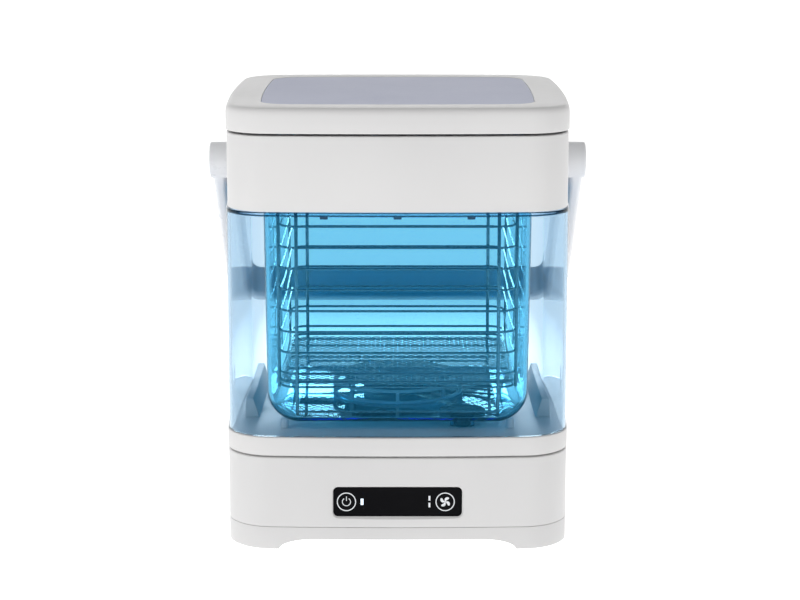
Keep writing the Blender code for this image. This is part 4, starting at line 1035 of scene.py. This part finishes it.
flange = rounded_rings(
    [
        (mouth, 0, FLANGE_BOTTOM - 0.004, 0),
        (mouth, 0, FLANGE_BOTTOM, 0.0010),
        (mouth, -FLANGE_WIDTH, FLANGE_BOTTOM, 0.0006),
        (mouth, -FLANGE_WIDTH, bucket_high.z, 0.0010),
        (mouth, BUCKET_WALL, bucket_high.z, 0.0014),
        (mouth, BUCKET_WALL, bucket_high.z - 0.006, 0),
    ],
    closed=False,
)
outside = np.array(bucket_sweep(BOTTOM, 0.0))
inside = np.array(bucket_sweep(BOTTOM + BUCKET_FLOOR, BUCKET_WALL))[::-1]
bucket = make_piece(
    "wash_bucket",
    grid_patch(np.concatenate([outside, flange, inside])),
    bucket_blue,
    "tank",
    ["bucket"],
)
spout_top = BOTTOM + 0.001
spout_profile = [(0, bucket_low.z), (SPOUT_RADIUS, bucket_low.z), (SPOUT_RADIUS, spout_top), (0, spout_top)]
carve(bucket, [turned(spout_profile, drain, 48, edge=0.0006)], "UNION")
carve(bucket, [peg(SPOUT_BORE, 0.09, 0.12, drain)])
print("bucket:", len(bucket.data.polygons), "faces")

# %% Bucket feet and drain plug
for number, (x, y) in enumerate(four_corners, 1):
    low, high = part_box(f"bucket_foot_{number}")
    centre = ((low.x + high.x) / 2, (low.y + high.y) / 2, 0)
    radius = (high.x - low.x) / 2
    patch = turned([(0, high.z), (radius, high.z), (radius, low.z), (0, low.z)], centre, 32)
    make_piece(f"support_{number}", patch, pale, "tank", [f"bucket_foot_{number}"])
plug_radius = (plug_high.x - plug_low.x) / 2
plug_profile = [
    (0, plug_high.z),
    (0.0125, plug_high.z),
    (0.0130, plug_high.z - 0.0006),
    (0.0150, plug_high.z - 0.0006),
    (0.0155, plug_high.z),
    (plug_radius, plug_high.z),
    (plug_radius, BOTTOM + BUCKET_FLOOR + 0.0003),
    (SPOUT_BORE - 0.0003, BOTTOM + BUCKET_FLOOR + 0.0003),
    (SPOUT_BORE - 0.0003, 0.0985),
    (0.0055, plug_low.z),
    (0, plug_low.z),
]
plug_patch = turned(plug_profile, drain, 64, edge=0.0004)
make_piece("plug", plug_patch, rubber, "drain_plug", ["drain_plug"])
print("plug radius", round(plug_radius, 4))

# %% [markdown]
# ## Impeller
#
# A cage of eight posts keeps fingers and dropped prints away from the impeller, which spins on a spindle
# and is driven by magnets through the floor. The cage is a turned ring with wide windows carved in it.

# %% Cage and impeller
cage_low, cage_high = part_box("impeller_cage")
cage_radius = (cage_high.x - cage_low.x) / 2
centre = (0, AXIS_Y, 0)
cage_wall = 0.003
cage_section = smooth_profile(
    [
        (cage_radius - cage_wall / 2, cage_high.z),
        (cage_radius, cage_high.z),
        (cage_radius, cage_low.z),
        (cage_radius - cage_wall, cage_low.z),
        (cage_radius - cage_wall, cage_high.z),
        (cage_radius - cage_wall / 2, cage_high.z),
    ],
    0.0005,
)[:-1]
around = np.linspace(0, 2 * math.pi, 160, endpoint=False)
cage_rings = np.stack(
    [
        cage_section[:, :1] * np.cos(around),
        cage_section[:, :1] * np.sin(around) + AXIS_Y,
        np.repeat(cage_section[:, 1:], len(around), axis=1),
    ],
    axis=-1,
)
cage_patch = grid_patch(cage_rings, closed=True)
cage = make_piece("cage_ring", cage_patch, pale, "tank", ["impeller_cage"])
CAGE_WINDOW = 0.0205
window = block((-0.065, -CAGE_WINDOW, cage_low.z + 0.002), (0.065, CAGE_WINDOW, cage_high.z - 0.0025))
carve(cage, [turn_patch(window, math.radians(22.5 + 45 * k)) for k in range(4)])
wheel_low, wheel_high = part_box("impeller")
wheel_radius = (wheel_high.x - wheel_low.x) / 2
cover = wheel_high.z - 0.0035
wheel_profile = [
    (0, wheel_high.z),
    (0.0080, wheel_high.z),
    (0.0100, cover + 0.002),
    (wheel_radius, cover + 0.002),
    (wheel_radius, cover),
    (0.0100, cover),
    (0.0100, 0.1180),
    (0.0300, 0.1180),
    (0.0300, wheel_low.z),
    (0, wheel_low.z),
]
wheel_patch = turned(wheel_profile, centre, 96, edge=0.0004)
wheel = make_piece(
    "impeller_wheel", wheel_patch, rotor_blue, "impeller", ["impeller"]
)
VANE = 0.0012
vane = block((0.009, -VANE, 0.117), (wheel_radius - 0.0015, VANE, cover + 0.001))
carve(wheel, [turn_patch(vane, math.pi / 3 * k) for k in range(6)], "UNION")
MAGNET_PLACE, MAGNET_HOLE, SPINDLE_HOLE = 0.0200, 0.0043, 0.0023
holes = []
for k in range(4):
    x, y = MAGNET_PLACE * unit(math.radians(30 + 90 * k))
    holes.append(peg(MAGNET_HOLE, 0.110, 0.1163, (x, y + AXIS_Y, 0), 24))
holes.append(peg(SPINDLE_HOLE, 0.110, 0.1273, centre, 24))
carve(wheel, holes)
print("cage radius", round(cage_radius, 4), "wheel radius", round(wheel_radius, 4))

# %% [markdown]
# ## Basket
#
# The basket is bent and spot-welded from round wire. Level rings run all the way round, and upright rods
# stand on their outside, pressed into them a little where they are welded. The solids divide it into
# walls; here it is one piece again, because nothing in it moves.

# %% Wires
front_low, front_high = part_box("basket_front")
rim_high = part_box("basket_right")[1]
RING_WIRE = 0.0010
ROD = 0.0015
WELD = 0.0003
ROD_OUT = RING_WIRE + ROD - WELD
BASKET_X = rim_high.x - ROD_OUT - ROD
BASKET_Y = AXIS_Y - front_low.y - ROD_OUT - ROD
BASKET_CORNER = 0.0138
TOP_RING = front_high.z - ROD
FIRST_RING = 0.1455
RING_PITCH = (TOP_RING - FIRST_RING) / 9
RAIL_LOW, RAIL_HIGH = 0.1340, 0.1384
FOOT_WIRE = 0.1140
CROSS_BAR_PITCH = 0.0525
corner_x, corner_y = BASKET_X - BASKET_CORNER, BASKET_Y - BASKET_CORNER


def ring_wire(level, radius, grow=0.0):
    loop = level_loop(BASKET_X - grow, BASKET_Y - grow, BASKET_CORNER - grow, level)
    return tube(loop, radius, sides=12, closed=True)


def rod(start, end, radius, sides=12):
    """A straight wire with slightly domed ends: its radius falls to 70% over its last half millimetre."""
    start, end = np.array(start, float), np.array(end, float)
    start[1] += AXIS_Y
    end[1] += AXIS_Y
    length = np.linalg.norm(end - start)
    along = (end - start) / length
    stops = np.array([0, 0.0002, 0.0006, length - 0.0006, length - 0.0002, length])
    size = radius * np.array([0.6, 0.9, 1, 1, 0.9, 0.6])
    up = (1, 0, 0) if abs(along[2]) > 0.9 else (0, 0, 1)
    side = np.cross(along, up)
    lift = np.cross(side, along)
    around = np.linspace(0, 2 * math.pi, sides, endpoint=False)[None, :, None]
    circle = np.cos(around) * side + np.sin(around) * lift
    return grid_patch(start + stops[:, None, None] * along + size[:, None, None] * circle)


wires = [ring_wire(FIRST_RING + RING_PITCH * k, RING_WIRE) for k in range(9)]
wires += [ring_wire(RAIL_HIGH, RING_WIRE), ring_wire(RAIL_LOW, RING_WIRE, 0.0006), ring_wire(TOP_RING, ROD)]
for sx, sy in four_corners:
    x, y = sx * corner_x, sy * (BASKET_Y + ROD_OUT)
    wires.append(rod((x, y, front_low.z), (x, y, TOP_RING), ROD))
    x, y = sx * (BASKET_X + ROD_OUT), sy * corner_y
    wires.append(rod((x, y, RAIL_LOW - 0.002), (x, y, TOP_RING), ROD))
for sy in (1, -1):
    y = sy * (BASKET_Y + ROD_OUT)
    wires.append(rod((-corner_x, y, FOOT_WIRE), (corner_x, y, FOOT_WIRE), RING_WIRE))
for k in range(4):
    y = CROSS_BAR_PITCH * (k - 1.5)
    wires.append(rod((-BASKET_X + 0.0006, y, RAIL_LOW), (BASKET_X - 0.0006, y, RAIL_LOW), RING_WIRE))
bail_low, bail_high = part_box("basket_bail")
EYE_RADIUS, EYE_BORE = 0.0033, 0.0019
BAIL_LEVEL = bail_low.z + ROD
eye_section = [(EYE_BORE, 0.0967), (EYE_RADIUS, 0.0967), (EYE_RADIUS, 0.0990), (EYE_BORE, 0.0990)]
for side in (1, -1):
    rings = smooth_profile(eye_section + eye_section[:1], 0.0004)[:-1]
    around = np.linspace(0, 2 * math.pi, 32, endpoint=False)
    patch_rings = np.stack(
        [
            np.repeat(side * rings[:, 1:], 32, axis=1),
            rings[:, :1] * np.cos(around) + AXIS_Y,
            rings[:, :1] * np.sin(around) + BAIL_LEVEL,
        ],
        axis=-1,
    )
    wires.append(grid_patch(patch_rings, closed=True))
basket = make_piece(
    "wire_basket",
    together(wires),
    wire_steel,
    "basket",
    ["basket_front", "basket_back", "basket_left", "basket_right", "basket_floor"],
    sharp=60,
)
print("basket:", len(wires), "wires,", len(basket.data.polygons), "faces")

# %% [markdown]
# The floor is woven wire cloth. Every wire goes over one crossing wire and under the next, so its height
# is plus or minus its own radius, turning over at each crossing. One point on each crossing is enough,
# because smooth shading rounds the rest. Its wires are brighter than the basket's polished ones.

# %% Woven floor
cloth_low, cloth_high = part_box("basket_mesh")
CLOTH_PITCH = 0.0040
CLOTH_WIRE = 0.00028
CLOTH_RISE = CLOTH_WIRE
cloth_level = (cloth_high.z + cloth_low.z) / 2
cloth_x = (cloth_high.x - cloth_low.x) / 2
cloth_y = (cloth_high.y - cloth_low.y) / 2
cloth_corner = 0.0130


def cloth_reach(offset, half_run, half_across):
    """How far a wire runs at an offset from the middle: less at the round corners."""
    over = max(0.0, abs(offset) - (half_across - cloth_corner))
    return half_run - cloth_corner + math.sqrt(max(cloth_corner**2 - over**2, 0.0))


def cloth_wire(number, along_x):
    """One wire: its height alternates with the crossing's own number plus this wire's number."""
    offset = number * CLOTH_PITCH
    half_run, half_across = (cloth_x, cloth_y) if along_x else (cloth_y, cloth_x)
    reach = cloth_reach(offset, half_run, half_across) - CLOTH_WIRE
    most = int(reach / CLOTH_PITCH)
    crossings = np.arange(-most, most + 1)
    place = crossings * CLOTH_PITCH
    parity = np.where((crossings + number) % 2 == 0, 1.0, -1.0) * (1 if along_x else -1)
    place = np.concatenate([[-reach], place, [reach]])
    height = cloth_level + CLOTH_RISE * np.concatenate([[0], parity, [0]])
    across = np.full(len(place), offset)
    x, y = (place, across) if along_x else (across, place)
    return tube(np.column_stack([x, y + AXIS_Y, height]), CLOTH_WIRE, sides=5)


rows = int((cloth_y - 2 * CLOTH_WIRE) / CLOTH_PITCH)
columns = int((cloth_x - 2 * CLOTH_WIRE) / CLOTH_PITCH)
cloth_wires = [cloth_wire(k, True) for k in range(-rows, rows + 1)]
cloth_wires += [cloth_wire(k, False) for k in range(-columns, columns + 1)]
cloth = make_piece(
    "woven_floor", together(cloth_wires), cloth_steel, "basket", ["basket_mesh"], sharp=80
)
print("woven floor:", len(cloth_wires), "wires,", 2 * len(cloth.data.polygons), "triangles at most")

# %% Weld clips and bail
CLIP_LEAN = 0.0022
clips = []
for x in (-0.040, 0.032):
    y = -(BASKET_Y + RING_WIRE + 0.0004)
    for lean in (-1, 1):
        start = (x - CLIP_LEAN * lean, y, RAIL_LOW - 0.0006)
        clips.append(rod(start, (x + CLIP_LEAN * lean, y, RAIL_HIGH + 0.0006), 0.0005, 8))
make_piece("weld_clips", together(clips), wire_steel, "basket", sharp=60)
bail_x = (bail_high.x - bail_low.x) / 2 - ROD
bail_reach = AXIS_Y - bail_low.y - ROD
BEND = 0.0018
half = [np.array([[0.0950, 0.0], [0.0970, 0.0]])]
turn_in = np.radians(np.linspace(90, 0, 9))
half.append(np.array([bail_x - BEND, -BEND]) + BEND * unit(turn_in))
turn_out = np.radians(np.linspace(0, -90, 9))
half.append(np.array([bail_x - BEND, BEND - bail_reach]) + BEND * unit(turn_out))
half = np.concatenate(half)
flat = np.concatenate([half, (half * [-1, 1])[::-1]])
bail_path = np.column_stack([flat[:, 0], flat[:, 1] + AXIS_Y, np.full(len(flat), BAIL_LEVEL)])
bail_patch = tube(bail_path, ROD, sides=14)
make_piece("lifting_bail", bail_patch, wire_steel, "basket_bail", ["basket_bail"], sharp=60)
print("bail reaches", round(bail_reach, 4))

# %% [markdown]
# ## Lid
#
# The lid is a white ring with a rounded top edge, a satin window let into it, and a soft gasket that
# closes on the bucket's flange. The window sits a hair below the rim, and the fine gap round it catches
# the light.

# %% Lid
lid_low, lid_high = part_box("lid_frame")
window_low, window_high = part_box("lid_window")
WINDOW_HALF = (window_high.x - window_low.x) / 2
window_plan = bowed_plan(WINDOW_HALF, 0.0240, 0.0020)
UNDERSIDE = 0.3650
gasket_low, gasket_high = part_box("lid_gasket")
lid_inset = insets["lid_frame"]
REACH = 0.0062
LID_EDGE = lid_high.z - 0.0210
make_piece(
    "lid_ring",
    casing(
        [
            (body_plan, lid_inset, LID_EDGE, 0.0009),
            (body_plan, lid_inset, lid_high.z, 0.0062),
            (window_plan, -0.0003, lid_high.z, 0.0007),
            (window_plan, -0.0003, window_low.z - 0.0003, 0.0002),
            (window_plan, 0.0100, window_low.z - 0.0003, 0.0004),
            (window_plan, 0.0100, UNDERSIDE, 0.0004),
            (mouth, 0.0062, UNDERSIDE, 0.0004),
            (mouth, 0.0062, lid_low.z, 0.0006),
            (mouth, 0.0040, lid_low.z, 0.0006),
            (mouth, 0.0040, gasket_high.z + 0.0003, 0.0002),
            (mouth, -REACH, gasket_high.z + 0.0003, 0.0002),
            (mouth, -REACH, UNDERSIDE, 0.0006),
            (body_plan, lid_inset + WALL, UNDERSIDE, 0.0020),
            (body_plan, lid_inset + WALL, LID_EDGE, 0.0006),
        ]
    ),
    white,
    "lid",
    ["lid_frame"],
)
window_rings = rounded_rings(
    [
        (window_plan, 0.0010, window_low.z, 0),
        (window_plan, 0, window_low.z, 0.0003),
        (window_plan, 0, window_high.z, 0.0006),
        (window_plan, 0.0015, window_high.z, 0),
    ],
    closed=False,
)
make_piece("satin_window", grid_patch(window_rings), frosted, "lid", ["lid_window"])
make_piece(
    "soft_gasket",
    casing(
        [
            (mouth, 0.0037, gasket_low.z, 0.0008),
            (mouth, -REACH, gasket_low.z, 0.0008),
            (mouth, -REACH, gasket_high.z, 0.0008),
            (mouth, 0.0037, gasket_high.z, 0.0008),
        ]
    ),
    gasket,
    "lid",
    ["lid_gasket"],
)
print("window half", round(WINDOW_HALF, 4))

# %% [markdown]
# ## Handle
#
# The handle is one flat strap, bent into a U that hangs behind the tank, with round ends that turn on
# pins. A strap of this kind is a rounded oblong carried along the U. Its section stays square to the
# path, so the flat side turns with the bends.

# %% Handle
ARM_X = 0.1556
HANDLE_REACH = 0.2095
BEND_RADIUS = 0.0260
STRAP_WIDTH = 0.0310
STRAP_THICKNESS = 0.0120
STRAP_ROUND = 0.0046
HANG = math.radians(40)
BOSS_RADIUS = 0.0158


def strap_rings():
    """The section, thickness by width, at each point of the U; its thickness lies in the U's own plane."""
    angles = np.linspace(0, math.pi / 2, 19)
    bend = np.array([ARM_X - BEND_RADIUS, HANDLE_REACH - BEND_RADIUS]) + BEND_RADIUS * unit(angles)
    arm = np.column_stack([np.full(9, ARM_X), np.linspace(0, HANDLE_REACH - BEND_RADIUS, 9)])
    half = np.concatenate([arm[:-1], bend])
    path = np.concatenate([half, (half * [-1, 1])[::-1]])
    ahead = np.gradient(path, axis=0)
    ahead /= np.linalg.norm(ahead, axis=1, keepdims=True)
    side = np.column_stack([ahead[:, 1], -ahead[:, 0]])
    section = level_loop(STRAP_THICKNESS / 2, STRAP_WIDTH / 2, STRAP_ROUND, 0.0, steps=6)[:, :2] - [0, AXIS_Y]
    across = path[:, None] + section[None, :, :1] * side[:, None]
    depth = np.repeat(section[None, :, 1], len(path), axis=0)
    return np.stack([across[..., 0], across[..., 1], depth], axis=-1)


def hang(patch):
    """Turns a patch drawn in the U's own plane about the pivot, so that it hangs down behind."""
    points, faces, ends = patch
    x, y, z = points.T
    c, s = math.cos(HANG), math.sin(HANG)
    return np.column_stack([x, y * c + z * s + AXIS_Y, z * c - y * s + PIVOT_LEVEL]), faces, ends


outer_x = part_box("handle_bail")[1].x
BOSS_INNER = 0.1460
BOSS_EDGE = 0.0022
bore_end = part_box("pivot_pin_right")[1].x + 0.0006
strap = hang(grid_patch(strap_rings()))
# The strap's finish is the white plastic drawn lighter, a painted light on the arms.
handle = make_piece("handle_strap", strap, arm_white_painted_light, "handle", ["handle_bail"])
for side in (1, -1):
    ends = np.array([(0, BOSS_INNER), (BOSS_RADIUS, BOSS_INNER), (BOSS_RADIUS, outer_x), (0, outer_x)])
    carve(handle, [turned(ends * [1, side], pivot, 96, "x", edge=BOSS_EDGE)], "UNION")
    start = BOSS_INNER - 0.001
    carve(handle, [peg(PIN_BORE, side * start, side * bore_end, pivot, 48, "x")])
print("handle:", len(handle.data.polygons), "faces")

# %% [markdown]
# ## The pieces that keep their solids
#
# The motor, its bracket, the boards, screws, pins and leads are right as they are. Each takes the finish
# of its material from the record.

# %% Finishes for the other solids
slot_finish = {
    "white_plastic": white,
    "black_rubber": rubber,
    "steel": steel,
    "magnet": magnet,
    "black_glass": black_glass,
    "circuit_board": board,
    "black_plastic": black_case,
    "clear_blue_plastic": bucket_blue,
    "pale_plastic": pale,
    "impeller_plastic": rotor_blue,
    "stainless_wire": wire_steel,
    "frosted_window": frosted,
    "silicone": gasket,
}
slot_of = {part["node"]: part["material_slot"] for part in frame["record"]["subparts"]}
for node, solid in frame["nodes"].items():
    solid.data.materials.clear()
    solid.data.materials.append(slot_finish[slot_of[node]])
print(len(slot_of), "solids have a finish")

# %% [markdown]
# ## Studio
#
# Clear plastic shows what is behind it, so the room is white, dim in front, brighter behind, and brightest
# straight behind the object. The white floor glows a little, as a light table does. Two soft lamps in front
# give the face its fall-off from left to right, and a third behind lights the inside of the tank.

# %% Floor and light
floor_mesh = bpy.data.meshes.new("floor")
FLOOR = 6.0
corners = [(x * FLOOR, y * FLOOR, 0) for x, y in ((-1, -1), (1, -1), (1, 1), (-1, 1))]
floor_mesh.from_pydata(corners, [], [(0, 1, 2, 3)])
floor = bpy.data.objects.new("floor", floor_mesh)
bpy.context.scene.collection.objects.link(floor)
FLOOR_GLOW = 0.80
lit_floor = finish("pale_floor", (0.93, 0.93, 0.93), (0.95, 0.95, 0.95), (0.7, 0.8), scale=60, lift=0.0)
floor_shader = lit_floor.node_tree.nodes["Principled BSDF"]
floor_shader.inputs["Emission Color"].default_value = (1.0, 1.0, 1.0, 1)
floor_shader.inputs["Emission Strength"].default_value = FLOOR_GLOW
floor_mesh.materials.append(lit_floor)

FRONT_STRENGTH, BACK_STRENGTH, TOP_SHARE, BACKDROP = 0.14, 1.10, 0.60, 0.8
world = bpy.data.worlds.new("white_room")
bpy.context.scene.world = world
world.use_nodes = True
tree = world.node_tree
direction = tree.nodes.new("ShaderNodeTexCoord").outputs["Generated"]
parts_of = add(tree, "SeparateXYZ", Vector=direction)
strength = add(tree, "Math", [("operation", "MULTIPLY")])
tree.links.new(rescale(tree, parts_of.outputs["Y"], -1, 1, FRONT_STRENGTH, BACK_STRENGTH), strength.inputs[0])
tree.links.new(rescale(tree, parts_of.outputs["Z"], 0, 0.7, 1, TOP_SHARE), strength.inputs[1])
total = add(tree, "Math", [("operation", "ADD")])
tree.links.new(strength.outputs[0], total.inputs[0])
tree.links.new(rescale(tree, parts_of.outputs["Y"], 0.80, 0.97, 0, BACKDROP, "SMOOTHSTEP"), total.inputs[1])
tree.links.new(total.outputs[0], tree.nodes["Background"].inputs["Strength"])
tree.nodes["Background"].inputs["Color"].default_value = (1.0, 1.0, 1.0, 1)


def softbox(name, place, target, size, power):
    lamp = bpy.data.lights.new(name, "AREA")
    lamp.shape = "RECTANGLE"
    lamp.size, lamp.size_y = size
    lamp.energy = power
    holder = bpy.data.objects.new(name, lamp)
    holder.visible_glossy = False
    bpy.context.scene.collection.objects.link(holder)
    holder.location = place
    aim = mathutils.Vector(target) - mathutils.Vector(place)
    holder.rotation_euler = aim.to_track_quat("-Z", "Y").to_euler()


softbox("key_softbox", (-1.2, -1.2, 1.0), (0, 0, 0.15), (0.8, 0.8), 8.5)
softbox("fill_softbox", (0.9, -1.5, 0.9), (0, 0, 0.15), (0.9, 0.8), 4.5)
softbox("back_softbox", (0.0, 1.15, 0.40), (0, 0, 0.11), (0.7, 0.16), 5.0)
bpy.context.scene.view_settings.view_transform = "Standard"
print("room strength from", FRONT_STRENGTH, "in front to", BACK_STRENGTH, "behind")

# %% [markdown]
# ## Camera
#
# A long lens from nearly two metres keeps the sides close to parallel. It looks down a little, enough to
# show the lid's window as a thin band.

# %% Camera
camera_data = bpy.data.cameras.new("camera")
camera = bpy.data.objects.new("camera", camera_data)
bpy.context.scene.collection.objects.link(camera)
camera_data.lens = 99.6
camera_data.sensor_width = 36.0
camera_data.shift_x = 0.003
PITCH = math.radians(11.35)
camera.location = (0.0, AXIS_Y - BODY_HALF - 1.772, 0.570)
camera.rotation_euler = (math.pi / 2 - PITCH, 0, 0)
bpy.context.scene.camera = camera
print("camera stands", round(-camera.location.y, 3), "m in front")

# %% [markdown]
# ## Finish
#
# Last, the number of points in all the new pieces is printed. Every piece was made from the solids' own sizes.

# %% Point count
print("points:", sum(count for _, count in made))
